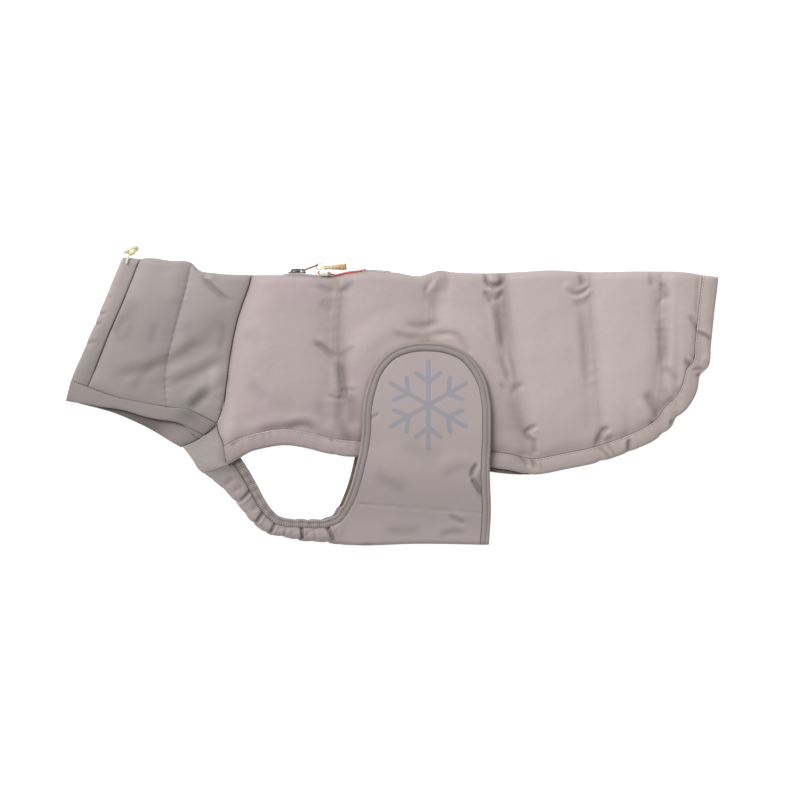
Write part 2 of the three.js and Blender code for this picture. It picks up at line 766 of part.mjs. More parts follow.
// The knit throat panel hangs from both collar seams; its front half is pleated once, so it steps down in layers.
function throatPanel() {
  const seamStart = SEAM_GAP;
  const stations = 14;
  const outer = [];
  const inner = [];
  for (let i = 0; i <= stations; i += 1) {
    const u = i / stations;
    const seam = collarSeamLine.at(THREE.MathUtils.lerp(0.002, 0.985, u));
    const edge = new THREE.Vector2(
      column(THROAT_SECTIONS, "seam", "edgeX", u),
      -column(THROAT_SECTIONS, "seam", "edgeDrop", u),
    );
    const run = edge.clone().sub(seam);
    const reach = run.length();
    const foldAt = Math.min(column(THROAT_SECTIONS, "seam", "fold", u), reach + 1.5);
    const tuck = column(THROAT_SECTIONS, "seam", "tuck", u);
    const side = THREE.MathUtils.clamp(tuck / 4, -1, 1);
    const turn = KNIT_PITCH / 2;
    const low = KNIT_WALL / 2;
    const high = low + 3 * KNIT_PITCH;
    const back = foldAt - tuck;
    const section = [
      { d: seamStart, z: high },
      { d: foldAt * 0.5, z: high + 0.2 },
      { d: foldAt - turn * 1.2, z: high },
      { d: foldAt, z: high - turn },
      { d: foldAt - turn * 1.2 * side, z: low + 2 * KNIT_PITCH },
      { d: back + turn * 1.2 * side, z: low + 2 * KNIT_PITCH },
      { d: back, z: low + 1.5 * KNIT_PITCH },
      { d: back + turn * 1.2, z: low + KNIT_PITCH },
      { d: Math.max(reach - turn * 1.2, back + turn * 2.2), z: low + KNIT_PITCH },
      { d: Math.max(reach, back + turn * 3.2), z: low + KNIT_PITCH / 2 },
      { d: Math.max(reach - turn * 1.2, back + turn * 2.2), z: low },
      { d: reach * 0.45, z: low },
      { d: seamStart, z: low },
    ];
    const line = new THREE.CatmullRomCurve3(
      section.map((row) => new THREE.Vector3(row.d, 0, row.z)),
      false,
      "centripetal",
    );
    const steps = 23;
    const outerRow = [];
    const innerRow = [];
    const direction = run.normalize();
    for (let j = 0; j <= steps; j += 1) {
      const at = line.getPoint(j / steps);
      const tangent = line.getTangent(j / steps);
      const across = new THREE.Vector2(-tangent.z, tangent.x).multiplyScalar(KNIT_WALL / 2);
      const lay = (row, sign) => {
        const d = Math.max(SEAM_GAP, at.x + sign * across.x);
        const z = Math.max(0, at.z + sign * across.y);
        row.push(new THREE.Vector3(seam.x + direction.x * d, seam.y + direction.y * d, z));
      };
      lay(outerRow, 1);
      lay(innerRow, -1);
    }
    outer.push(outerRow);
    inner.push(innerRow);
  }
  return solidBetween(outer, inner);
}

// The knit chest gusset, folded along the chest. Its seam turns the corner at the end of the hem.
const GUSSET_RIBS = [
  { rib: 0, seam: 0 },
  { rib: 0.6, seam: 0.7 },
  { rib: 1, seam: 1 },
];

function chestGusset() {
  const seams = new Line(GUSSET_SEAM.concat(HEM_END));
  const plan = patch(
    (s) => gussetFoldLine.at(s),
    (s) => seams.at(column(GUSSET_RIBS, "rib", "seam", s)),
    (t) => throatSeamLine.at(1 - t),
    (t) => strapEndLine.at(t),
  );
  const clear = (s, t) => plan(0.02 + s * 0.965, t * 0.98);
  return foldedSheet({
    plan: clear,
    columns: 12,
    upperStops: even(6),
    lowerStops: even(3),
    fold: 3.4,
    wall: 2,
    length: (s) => clear(s, 0).distanceTo(clear(s, 1)),
    heights: (point, s, t) => ({
      top: 7 + 0.9 * Math.sin(Math.PI * t),
      under: 5.2,
      lowerTop: 1.8,
      lowerUnder: 0,
    }),
  });
}

// What the flap rests on: the coat's dome, then a slope down to the belly fold, and low along the strap.
function bellySupport(point) {
  const depth = depthInShell(point);
  const beyondHem = 1 - ease(0, 60, -depth);
  const overShell = depth >= 0 ? dome(point) : STRAP_UNDER + (lift(point) + HEM_TOP - STRAP_UNDER) * beyondHem;
  return STRAP_UNDER + (overShell - STRAP_UNDER) * ease(60, 86, point.x);
}

function bellyLevels(point, t, raise) {
  const under = bellySupport(point) + REST_GAP;
  const onFlap = ease(60, 86, point.x);
  const wall = STRAP_WALL + (PANEL_WALL - STRAP_WALL) * onFlap;
  return { top: under + wall + raise, under, lowerTop: wall, lowerUnder: 0 };
}

// Where the panel meets its binding, moved in from the edge by the binding's width.
function bellySeam(share, width) {
  const normal = bellyEdgeLine.normal(share, 6).negate();
  const along = share * bellyEdgeLine.length;
  const strapEnd = new THREE.Vector2(-1, -0.55).normalize();
  const foldEnd = new THREE.Vector2(-1, 0);
  const turned = strapEnd
    .multiplyScalar(1 - ease(0, 12, along))
    .addScaledVector(normal, ease(0, 12, along) * ease(0, 16, bellyEdgeLine.length - along))
    .addScaledVector(foldEnd, 1 - ease(0, 16, bellyEdgeLine.length - along))
    .normalize();
  return bellyEdgeLine.at(share).addScaledVector(turned, width);
}

// Ribs of the belly panel, as shares of the fold line and of the bound edge.
const BELLY_RIBS = [
  { rib: 0, fold: 0, edge: 0 },
  { rib: 0.12, fold: 0.13, edge: 0.055 },
  { rib: 0.24, fold: 0.25, edge: 0.12 },
  { rib: 0.36, fold: 0.37, edge: 0.175 },
  { rib: 0.46, fold: 0.46, edge: 0.22 },
  { rib: 0.56, fold: 0.52, edge: 0.3 },
  { rib: 0.66, fold: 0.59, edge: 0.42 },
  { rib: 0.78, fold: 0.73, edge: 0.55 },
  { rib: 0.9, fold: 0.88, edge: 0.65 },
  { rib: 1, fold: 0.965, edge: 0.72 },
];
const FLAP_CORNER = BELLY_RIBS[BELLY_RIBS.length - 1].edge;

const BELLY_COLUMNS = 40;
const BELLY_STOPS = { upper: even(9), lower: [0, 0.35, 0.7, 1] };
const bellyShareAt = (s) => column(BELLY_RIBS, "rib", "edge", s);

// The lower side of the flap lies a little nearer the neck, up to the belly fold.
function farPanelShift(point) {
  const fromFold = distanceTo(bellyFoldChain, point);
  return new THREE.Vector2(-FAR_PANEL_SHIFT * ease(BELLY_FOLD, 22, fromFold) * ease(0, 55, point.x), 0);
}

function gather(along) {
  return STRAP_GATHERS.reduce((sum, row) => sum + row.depth * bell(along - row.along, row.width), 0);
}

function bellyPlan() {
  const seam = (share) => bellySeam(share, BINDING_WIDTH + SEAM_GAP);
  const fold = (s) => bellyFoldLine.at(column(BELLY_RIBS, "rib", "fold", s));
  return patch(
    fold,
    (s) => seam(bellyShareAt(s)),
    (t) => bellyFoldLine.at(0).lerp(seam(0), t),
    (t) => (t === 0 ? fold(1) : seam(1 + (FLAP_CORNER - 1) * t)),
  );
}

function bellyPanel() {
  const plan = bellyPlan();
  return foldedSheet({
    plan,
    columns: BELLY_COLUMNS,
    upperStops: BELLY_STOPS.upper,
    lowerStops: BELLY_STOPS.lower,
    fold: BELLY_FOLD,
    wall: STRAP_WALL,
    length: (s) => plan(s, 0).distanceTo(plan(s, 1)),
    heights: (point, s, t) => {
      const along = column(BELLY_RIBS, "rib", "fold", s) * bellyFoldLine.length;
      const onStrap = 1 - ease(60, 86, point.x);
      return bellyLevels(point, t, 0.9 * onStrap - gather(along) * onStrap * ease(0.05, 0.4, t));
    },
    shift: (s, t, lower) => (lower ? farPanelShift(plan(s, t)) : new THREE.Vector2()),
  });
}

function bellyBinding() {
  const plan = (s, t) => bellySeam(1 - t, BINDING_WIDTH * (1 - s));
  const shares = even(BELLY_COLUMNS).map(bellyShareAt);
  const side = bellyPlan()(1, 0).distanceTo(bellyPlan()(1, 1));
  const start = BELLY_FOLD / bellyEdgeLine.length;
  const stops = (rows) => bandStops(shares, FLAP_CORNER, rows, BELLY_FOLD / side, start);
  return foldedSheet({
    plan,
    columns: 2,
    upperStops: stops(BELLY_STOPS.upper),
    lowerStops: stops(BELLY_STOPS.lower),
    fold: BELLY_FOLD,
    wall: STRAP_WALL,
    length: () => bellyEdgeLine.length,
    heights: (point, s, t) => bellyLevels(point, t, 0.5 * Math.sin(Math.PI * s)),
    shift: (s, t, lower) => (lower ? farPanelShift(plan(s, t)) : new THREE.Vector2()),
  });
}

// Strips of the lining, where it shows on the lower side.
function liningStrip(edge, from, to, width, levels, count, move) {
  const shares = Array.from({ length: count + 1 }, (_, i) => from + ((to - from) * i) / count);
  const row = (share, inset, face) => {
    const place = edge(share, inset);
    const level = levels(place)[face];
    const moved = place.add(move(place));
    return new THREE.Vector3(moved.x, moved.y, level);
  };
  const insets = [0.3, 0.3 + width];
  const face = (name) => shares.map((share) => insets.map((inset) => row(share, inset, name)));
  return solidBetween(face("top"), face("under"));
}

function shellLining() {
  const levels = (place) => {
    const rest = lift(place) + SHELL_WALL - 0.2;
    return { top: rest + REST_GAP + 0.8, under: rest + REST_GAP };
  };
  const none = () => new THREE.Vector2();
  return liningStrip(hemSeam, hemLine.shareAtX(200), hemLine.shareAtX(252), 11, levels, 12, none);
}

function flapLining() {
  const levels = () => ({ top: STRAP_WALL + REST_GAP + 0.5, under: STRAP_WALL + REST_GAP });
  return liningStrip(bellySeam, 0.238, 0.318, 11, levels, 12, farPanelShift);
}

// A point beside a fold's outer face: at 90 degrees on its crest and at 0 where its upper layer begins.
function besideFold({ x, edge, fold, high, low }, degrees, away) {
  const angle = THREE.MathUtils.degToRad(degrees);
  const half = (high - low) / 2;
  const outward = new THREE.Vector2(Math.sin(angle) / fold, Math.cos(angle) / half).normalize();
  return new THREE.Vector3(
    x,
    edge - fold * (1 - Math.sin(angle)) + away * outward.x,
    (high + low) / 2 + half * Math.cos(angle) + away * outward.y,
  );
}

function spineFold(x) {
  const s = x / SPINE_END;
  const start = SHELL_FOLD / shellMap(s, 0).distanceTo(shellMap(s, 1));
  const at = shellLevels(shellMap(s, start), s);
  return { x, edge: -column(SPINE, "x", "drop", x), fold: SHELL_FOLD, high: at.top, low: at.lowerUnder };
}

const crest = (x) => besideFold(spineFold(x), 90, 0);

const ZIP = { start: 27, end: 119, lift: 0.3, thickness: 0.6, width: 4.4 };

// The zip's teeth make a low band along the crest.
function zipChain() {
  const stations = 16;
  const face = (rise) =>
    Array.from({ length: stations + 1 }, (_, i) => {
      const at = crest(ZIP.start + ((ZIP.end - ZIP.start) * i) / stations);
      return [-1, -0.5, 0.5, 1].map((side) => {
        const round = Math.abs(side) === 1 ? 0.25 : 0;
        const outward = rise === 0 ? 0 : rise - round;
        return new THREE.Vector3(at.x, at.y + ZIP.lift + outward, at.z + (side * ZIP.width) / 2);
      });
    });
  return solidBetween(face(ZIP.thickness), face(0));
}

const SLIDER = {
  start: 31.5,
  end: 46.5,
  base: crest(39).y + ZIP.lift + ZIP.thickness + SEAM_GAP,
  height: crest(39).z,
  plate: 1.3,
  gap: 1.8,
  bail: 1,
  width: 8,
  neck: 5.2,
  bailWidth: 1.8,
};
const PIVOT = new THREE.Vector3(43.2, SLIDER.base + SLIDER.plate + SLIDER.gap / 2, SLIDER.height);

// Round corners and all, a plate cut from an outline and raised along +Y.
function plateAlongY(outline, base, thickness) {
  const geometry = new THREE.ExtrudeGeometry(outline, { depth: thickness, bevelEnabled: false, curveSegments: 6 });
  geometry.rotateX(Math.PI / 2);
  geometry.translate(0, base + thickness, SLIDER.height);
  return geometry;
}

// The slider: a plate wider at the mouth, and a bail over it that the pull hangs from.
function zipSlider() {
  const wide = SLIDER.width / 2;
  const narrow = SLIDER.neck / 2;
  const outline = new THREE.Shape();
  outline.moveTo(SLIDER.start, -narrow);
  outline.lineTo(SLIDER.end - 5, -narrow - 0.5);
  outline.quadraticCurveTo(SLIDER.end, -wide, SLIDER.end, -wide + 1.6);
  outline.lineTo(SLIDER.end, wide - 1.6);
  outline.quadraticCurveTo(SLIDER.end, wide, SLIDER.end - 5, narrow + 0.5);
  outline.lineTo(SLIDER.start, narrow);
  const plate = solidFrom(plateAlongY(outline, SLIDER.base, SLIDER.plate));
  const low = SLIDER.base + SLIDER.plate;
  const high = low + SLIDER.gap;
  const arch = new THREE.Shape();
  arch.moveTo(SLIDER.start + 1.6, low - 0.3);
  arch.quadraticCurveTo(SLIDER.start + 1.8, high + SLIDER.bail, SLIDER.start + 5, high + SLIDER.bail);
  arch.lineTo(PIVOT.x + 0.4, high + SLIDER.bail);
  arch.quadraticCurveTo(PIVOT.x + 2.6, high + SLIDER.bail, PIVOT.x + 2.6, low - 0.3);
  arch.lineTo(PIVOT.x + 1.4, low - 0.3);
  arch.lineTo(PIVOT.x + 1.3, high - 0.5);
  arch.lineTo(PIVOT.x + 0.8, high);
  arch.lineTo(SLIDER.start + 5, high);
  arch.lineTo(SLIDER.start + 3.4, low - 0.3);
  const bail = new THREE.ExtrudeGeometry(arch, { depth: SLIDER.bailWidth, bevelEnabled: false, curveSegments: 5 });
  bail.translate(0, 0, SLIDER.height - SLIDER.bailWidth / 2);
  return geometryFrom(plate.add(solidFrom(bail)));
}

const PULL = { tilt: 21, bar: 0.55, width: 6.4, window: 5.4, slot: 3.6, length: 15, thickness: 1.2, eye: 1.3 };
const EYE_INSET = 2.2;
const ALONG_PULL = new THREE.Vector3(
  Math.cos(THREE.MathUtils.degToRad(PULL.tilt)),
  Math.sin(THREE.MathUtils.degToRad(PULL.tilt)),
  0,
);

// The tab: a flat blade with a window at the bail, whose end bar turns under it, and an eye at the other end.
function pullTab() {
  const half = PULL.width / 2;
  const slot = PULL.slot / 2;
  const outline = new THREE.Shape();
  outline.moveTo(0.2, -half);
  outline.lineTo(PULL.window + 0.6, -half);
  outline.lineTo(PULL.length - 3, -half * 0.8);
  outline.quadraticCurveTo(PULL.length, -half * 0.8, PULL.length, 0);
  outline.quadraticCurveTo(PULL.length, half * 0.8, PULL.length - 3, half * 0.8);
  outline.lineTo(PULL.window + 0.6, half);
  outline.lineTo(0.2, half);
  outline.lineTo(0.2, slot);
  outline.lineTo(PULL.window, slot);
  outline.lineTo(PULL.window, -slot);
  outline.lineTo(0.2, -slot);
  const eye = new THREE.Path();
  eye.absarc(PULL.length - EYE_INSET, 0, PULL.eye, 0, 2 * Math.PI);
  outline.holes.push(eye);
  const blade = new THREE.ExtrudeGeometry(outline, { depth: PULL.thickness, bevelEnabled: false, curveSegments: 6 });
  blade.translate(0, 0, -PULL.thickness / 2);
  blade.rotateX(-Math.PI / 2);
  const bar = new THREE.CylinderGeometry(PULL.bar, PULL.bar, PULL.width, 12);
  bar.rotateX(Math.PI / 2);
  const tab = geometryFrom(solidFrom(blade).add(solidFrom(bar)));
  tab.rotateZ(THREE.MathUtils.degToRad(PULL.tilt));
  tab.translate(PIVOT.x, PIVOT.y, PIVOT.z);
  return tab;
}

const LOOP = { radius: 2.9, wire: 0.5 };
const EYE_CENTRE = PIVOT.clone().addScaledVector(ALONG_PULL, PULL.length - EYE_INSET);
const LOOP_CENTRE = EYE_CENTRE.clone().add(new THREE.Vector3(LOOP.radius, -0.4, 0));

// The cord loop that ties the tassel through the tab's eye.
function pullLoop() {
  const loop = new THREE.TorusGeometry(LOOP.radius, LOOP.wire, 6, 14);
  loop.translate(LOOP_CENTRE.x, LOOP_CENTRE.y, LOOP_CENTRE.z);
  return loop;
}

function tube(points, radius, sides, steps) {
  const path = new THREE.CatmullRomCurve3(points, false, "centripetal");
  const body = new THREE.TubeGeometry(path, steps, radius, sides, false);
  const rings = body.getAttribute("position");
  const positions = [];
  const index = [];
  for (let i = 0; i <= steps; i += 1) {
    for (let j = 0; j < sides; j += 1) {
      const k = i * (sides + 1) + j;
      positions.push(rings.getX(k), rings.getY(k), rings.getZ(k));
    }
  }
  const ring = (i, j) => i * sides + (j % sides);
  for (let i = 0; i < steps; i += 1) {
    for (let j = 0; j < sides; j += 1) {
      index.push(ring(i, j), ring(i, j + 1), ring(i + 1, j + 1), ring(i, j), ring(i + 1, j + 1), ring(i + 1, j));
    }
  }
  for (let j = 1; j < sides - 1; j += 1) {
    index.push(ring(0, 0), ring(0, j + 1), ring(0, j));
    index.push(ring(steps, 0), ring(steps, j), ring(steps, j + 1));
  }
  const geometry = new THREE.BufferGeometry();
  geometry.setAttribute("position", new THREE.Float32BufferAttribute(positions, 3));
  geometry.setIndex(index);
  if (signedVolume(geometry) < 0) {
    const turned = [];
    for (let i = 0; i < index.length; i += 3) turned.push(index[i], index[i + 2], index[i + 1]);
    geometry.setIndex(turned);
  }
  geometry.computeVertexNormals();
  return geometry;
}

function ball(centre, radii, detail = 10) {
  const geometry = new THREE.SphereGeometry(1, detail, Math.round(detail * 0.7));
  geometry.scale(...radii);
  geometry.translate(centre.x, centre.y, centre.z);
  return geometry;
}

const TASSEL = { strands: 12, radius: 0.36, spread: 1.9, reach: 18, head: [2.4, 1.8, 1.8] };
const TASSEL_HEAD = LOOP_CENTRE.clone().add(new THREE.Vector3(4.6, -1, 0));

// The tassel: a wrapped head hooked on the loop and a bunch of strands that sinks to the table.
function pullTassel() {
  const loopRoom = solidFrom(new THREE.TorusGeometry(LOOP.radius, LOOP.wire + 0.35, 10, 20).translate(
    LOOP_CENTRE.x,
    LOOP_CENTRE.y,
    LOOP_CENTRE.z,
  ));
  let solid = solidFrom(ball(TASSEL_HEAD, TASSEL.head, 12)).subtract(loopRoom);
  for (let i = 0; i < TASSEL.strands; i += 1) {
    const turn = i * 2.399963;
    const out = Math.sqrt((i + 0.5) / TASSEL.strands);
    const side = new THREE.Vector3(0, Math.cos(turn), Math.sin(turn)).multiplyScalar(out);
    const far = TASSEL.reach * (0.86 + 0.14 * Math.cos(i * 1.7));
    const place = (along, wide, fall) =>
      TASSEL_HEAD.clone().add(new THREE.Vector3(along, side.y * wide, side.z * wide - fall));
    const strand = [
      place(0.6, 0.9, 0),
      place(far * 0.35, TASSEL.spread * 0.8, 0.8),
      place(far * 0.7, TASSEL.spread, 2.2),
      place(far, TASSEL.spread * 0.9, 3.4),
    ];
    solid = solid.add(solidFrom(tube(strand, TASSEL.radius, 3, 4)));
  }
  return geometryFrom(solid);
}

// The second cord of the pull: from the loop through a bead, then along the spine's shoulder.
const CORD_RADIUS = 0.75;
const BEAD = { start: 58.8, end: 67.6, radius: 2, bore: 1.1, rise: -1.8 };
const BEAD_HEIGHT = besideFold(spineFold(63), 60, BEAD.radius + REST_GAP).z + 0.5;

function pullBead() {
  const profile = [
    [BEAD.bore, 0],
    [BEAD.radius * 0.8, 0],
    [BEAD.radius, 0.7],
    [BEAD.radius, 1],
  ];
  const length = BEAD.end - BEAD.start;
  const half = profile.map(([radius, along]) => new THREE.Vector2(radius, along));
  const other = [...profile].reverse().map(([radius, along]) => new THREE.Vector2(radius, length - along));
  const bead = new THREE.LatheGeometry([...half, ...other, half[0]], 12);
  bead.rotateZ(-Math.PI / 2);
  bead.translate(BEAD.start, BEAD.rise, BEAD_HEIGHT);
  return bead;
}

function pullCord() {
  const beside = (x) => besideFold(spineFold(x), 60, CORD_RADIUS + 0.3);
  const tip = beside(90);
  const route = [
    new THREE.Vector3(LOOP_CENTRE.x - 0.4, LOOP_CENTRE.y - LOOP.radius - LOOP.wire - 1.1, LOOP_CENTRE.z + 0.6),
    new THREE.Vector3(LOOP_CENTRE.x - 1, -0.4, (LOOP_CENTRE.z + BEAD_HEIGHT) / 2),
    new THREE.Vector3(BEAD.start - 0.6, BEAD.rise, BEAD_HEIGHT),
    new THREE.Vector3(BEAD.start + 1.5, BEAD.rise, BEAD_HEIGHT),
    new THREE.Vector3(BEAD.end, BEAD.rise, BEAD_HEIGHT),
    beside(73),
    beside(78),
    beside(84),
    tip,
    new THREE.Vector3(98, tip.y + 1.9, tip.z + 0.2),
  ];
  return tube(route, CORD_RADIUS, 8, 24);
}

// The drawstring comes out of its eyelet near the nape, crosses the casing's top edge and ends in a knot.
const DRAWSTRING = [
  { x: -106.9, slant: 0, sink: 1.7 },
  { x: -106.2, slant: 0, sink: -0.6 },
  { x: -105.5, slant: 32, sink: 0 },
  { x: -104.7, slant: 62, sink: 0 },
];
const KNOT = [
  { x: -106.9, rise: 18, z: 4.8, radii: [3.4, 3.2, 3.8] },
  { x: -103.3, rise: 18.9, z: 5.2, radii: [4.2, 4, 4.7] },
  { x: -99.9, rise: 20, z: 4.6, radii: [3.4, 3.2, 3.7] },
];
const STRAND_RADIUS = 0.8;

function drawstring() {
  const casingFold = (x) => {
    const share = (x + 110.5) / 14.8;
    const edge = -THREE.MathUtils.lerp(FRONT_EDGE[0].drop, CASING_SEAM[0].drop, share);
    const bow = 1.4 * Math.sin(Math.PI * share);
    const high = collarDome(new THREE.Vector2(x, 8)) - 2.6 + 1.9;
    return { x, edge: edge + bow, fold: 5, high, low: 0 };
  };
  const route = DRAWSTRING.map((row) => {
    const at = besideFold(casingFold(row.x), row.slant, STRAND_RADIUS + 0.3);
    return at.add(new THREE.Vector3(0, -row.sink, 0));
  });
  route.push(new THREE.Vector3(-103.6, 17.6, 6.6));
  const strand = solidFrom(tube(route, STRAND_RADIUS, 8, 12));
  return geometryFrom(
    KNOT.map((lobe) => solidFrom(ball(new THREE.Vector3(lobe.x, lobe.rise, lobe.z), lobe.radii, 12))).reduce(
      (whole, lobe) => whole.add(lobe),
      strand,
    ),
  );
}

const coat = new THREE.Group();
const pattern = new THREE.Group();
const cords = new THREE.Group();
coat.add(pattern, cords);
pattern.add(
  named("back_panel", backPanel(), MATERIALS.shell),
  named("hem_casing", hemCasing(), MATERIALS.shell),
  named("collar_panel", collarPanel(), MATERIALS.collar),
  named("collar_casing", collarCasing(), MATERIALS.collar),
  named("throat_panel", throatPanel(), MATERIALS.knit),
  named("chest_gusset", chestGusset(), MATERIALS.knit),
  named("belly_panel", bellyPanel(), MATERIALS.panel),
  named("belly_binding", bellyBinding(), MATERIALS.binding),
  named("shell_lining", shellLining(), MATERIALS.lining),
  named("flap_lining", flapLining(), MATERIALS.lining),
  named("zip_chain", zipChain(), MATERIALS.metal),
  named("zip_slider", zipSlider(), MATERIALS.metal),
  named("pull_tab", pullTab(), MATERIALS.metal),
  named("pull_loop", pullLoop(), MATERIALS.cream),
  named("pull_tassel", pullTassel(), MATERIALS.orange),
  named("drawstring", drawstring(), MATERIALS.cream),
);
cords.add(named("pull_cord", pullCord(), MATERIALS.red), named("pull_bead", pullBead(), MATERIALS.bead));

// The origin is on the table, under the middle of the coat without its free cords.
const box = new THREE.Box3().setFromObject(pattern);
pattern.position.set(-(box.min.x + box.max.x) / 2, -(box.min.y + box.max.y) / 2, -box.min.z);
cords.position.copy(pattern.position);

export default coat;
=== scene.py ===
"""Looks of a quilted dog winter coat that lies flat on its side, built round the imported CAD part.

Sizes and places are in pattern millimetres: x from the neck seam towards the tail, y up towards the spine (tables
give the drop below the spine instead) and z up from the table. Each mesh is moved to the part's own frame, in
metres, when it is made.
"""

import logging
import math
from collections.abc import Callable
from dataclasses import dataclass, field
from enum import Enum

import bpy
import numpy as np
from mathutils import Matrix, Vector


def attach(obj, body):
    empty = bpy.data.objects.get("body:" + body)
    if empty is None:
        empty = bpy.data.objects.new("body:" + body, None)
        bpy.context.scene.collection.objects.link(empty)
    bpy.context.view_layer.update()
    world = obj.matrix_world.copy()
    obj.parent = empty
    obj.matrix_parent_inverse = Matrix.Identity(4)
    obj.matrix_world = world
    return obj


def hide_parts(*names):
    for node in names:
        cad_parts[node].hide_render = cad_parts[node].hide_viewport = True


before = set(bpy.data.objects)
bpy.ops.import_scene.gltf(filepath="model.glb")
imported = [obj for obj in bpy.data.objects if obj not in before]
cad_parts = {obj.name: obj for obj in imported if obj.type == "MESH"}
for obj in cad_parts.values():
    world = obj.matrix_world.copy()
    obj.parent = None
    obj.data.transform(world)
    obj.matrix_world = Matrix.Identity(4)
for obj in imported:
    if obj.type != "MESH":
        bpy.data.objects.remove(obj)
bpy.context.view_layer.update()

log = logging.getLogger("dog_coat")
Array = np.ndarray
Rows = tuple[tuple[float, float], ...]

MM = 0.001
PATTERN_TO_FRAME = np.array([-120.43592834472656, 105.7149486541748, 0.0])


# Small formulas


def ease(low: float, high: float, value: Array | float) -> Array:
    """An S-curve from 0 at low to 1 at high: 3 s^2 - 2 s^3 of the share between them."""
    share = np.clip((np.asarray(value, float) - low) / (high - low), 0, 1)
    return share * share * (3 - 2 * share)


def bell(value: Array | float, width: float) -> Array:
    """A bell of height 1: e to the minus square of the value in widths."""
    return np.exp(-((np.asarray(value, float) / width) ** 2))


def smooth(keys: Array, values: Array, at: Array | float) -> Array:
    """Hermite interpolation between knots.

    The slope at an inner knot is the mean of its two spans' slopes, each weighted by the other span's width.

    Args:
        keys: rising knots.
        values: one row for each knot.
        at: where to read.

    Returns:
        The values there, one row for each place.
    """
    keys, values = np.asarray(keys, float), np.asarray(values, float)
    flat = values.ndim == 1
    values = values[:, None] if flat else values
    width = np.diff(keys)[:, None]
    rise = np.diff(values, axis=0) / width
    slope = np.empty_like(values)
    slope[0], slope[-1] = rise[0], rise[-1]
    slope[1:-1] = (rise[:-1] * width[1:] + rise[1:] * width[:-1]) / (width[:-1] + width[1:])
    place = np.clip(np.asarray(at, float), keys[0], keys[-1])
    span = np.searchsorted(keys[1:-1], place, side="left")
    t = ((place - keys[span]) / width[span, 0])[..., None]
    stay = 1 - t
    result = (
        values[span] * (1 + 2 * t) * stay**2
        + values[span + 1] * t**2 * (3 - 2 * t)
        + slope[span] * width[span] * t * stay**2
        - slope[span + 1] * width[span] * t**2 * stay
    )
    return result[..., 0] if flat else result


def lookup(rows: tuple[tuple[float, ...], ...], value: int, at: Array | float) -> Array:
    """Reads column value of a table by its first column, smoothly."""
    table = np.array(rows, float)
    return smooth(table[:, 0], table[:, value], at)


def mottle(points: Array, cell: float, seed: int) -> Array:
    """Smooth seeded noise from -1 to 1: random values on a lattice of that cell, eased between its corners."""
    lattice = np.random.default_rng(seed).uniform(-1, 1, (97, 97))
    place = points / cell + 31.7
    corner = np.floor(place).astype(int)
    part = place - corner
    part = part * part * (3 - 2 * part)
    i, j = corner[..., 0] % 96, corner[..., 1] % 96
    low = lattice[i, j] * (1 - part[..., 0]) + lattice[i + 1, j] * part[..., 0]
    high = lattice[i, j + 1] * (1 - part[..., 0]) + lattice[i + 1, j + 1] * part[..., 0]
    return low * (1 - part[..., 1]) + high * part[..., 1]


def graded(count: int, fine: tuple[float, ...], both: bool = False) -> Array:
    """Stops from 0 to 1, evenly spaced but for extra ones close to the end, or to both ends.

    Args:
        count: even spans.
        fine: distances of the extra stops from the end.
        both: whether the start gets them too.
    """
    last = max(fine)
    middle = np.linspace(last if both else 0, 1 - last, count + 1)
    ends = [1 - distance for distance in fine] + ([*fine, 0.0] if both else [])
    return np.unique(np.round(np.concatenate([middle, ends, [1.0]]), 6))


class Line:
    """A smooth line through a table of (x, drop), read by its share of the whole length."""

    def __init__(self, rows: Rows) -> None:
        """Keeps the knots and their distances along the line."""
        self.points = np.array(rows, float) * [1, -1]
        steps = np.linalg.norm(np.diff(self.points, axis=0), axis=1)
        self.reach = np.concatenate([[0], np.cumsum(steps)])
        self.length = float(self.reach[-1])

    def at(self, share: Array | float) -> Array:
        """The point at a share of the length."""
        return smooth(self.reach, self.points, np.asarray(share, float) * self.length)

    def share_at_x(self, x: Array | float) -> Array:
        """The share at which a line that runs towards +x passes x."""
        shares = np.linspace(0, 1, 4001)
        return np.interp(x, np.maximum.accumulate(self.at(shares)[:, 0]), shares)

    def normal(self, share: Array | float, window: float) -> Array:
        """The left normal, averaged over a window in millimetres each way."""
        half = window / self.length
        share = np.asarray(share, float)
        run = self.at(np.minimum(1, share + half)) - self.at(np.maximum(0, share - half))
        run /= np.linalg.norm(run, axis=-1, keepdims=True)
        return np.stack([-run[..., 1], run[..., 0]], axis=-1)

    def chain(self, count: int) -> Array:
        """Evenly shared points along the line."""
        return self.at(np.linspace(0, 1, count + 1))


def nearest_on(chain: Array, points: Array) -> tuple[Array, Array, Array]:
    """Projects points on a chain of segments.

    For each point and segment the foot is the clamped dot product along the segment; the nearest foot is kept.

    Args:
        chain: the chain's points.
        points: the points to project.

    Returns:
        Distance, share of the chain's count of segments, and side (1 on the left), each with the points' shape.
    """
    shape = points.shape[:-1]
    flat = points.reshape(-1, 1, 2)
    start, run = chain[:-1], np.diff(chain, axis=0)
    square = np.maximum((run**2).sum(-1), 1e-9)
    share = np.clip(((flat - start) * run).sum(-1) / square, 0, 1)
    away = flat - (start + share[..., None] * run)
    distance = np.linalg.norm(away, axis=-1)
    best = distance.argmin(axis=1)
    rows = np.arange(len(best))
    turn = run[best, 0] * away[rows, best, 1] - run[best, 1] * away[rows, best, 0]
    along = (best + share[rows, best]) / len(run)
    return distance[rows, best].reshape(shape), along.reshape(shape), np.sign(turn).reshape(shape)


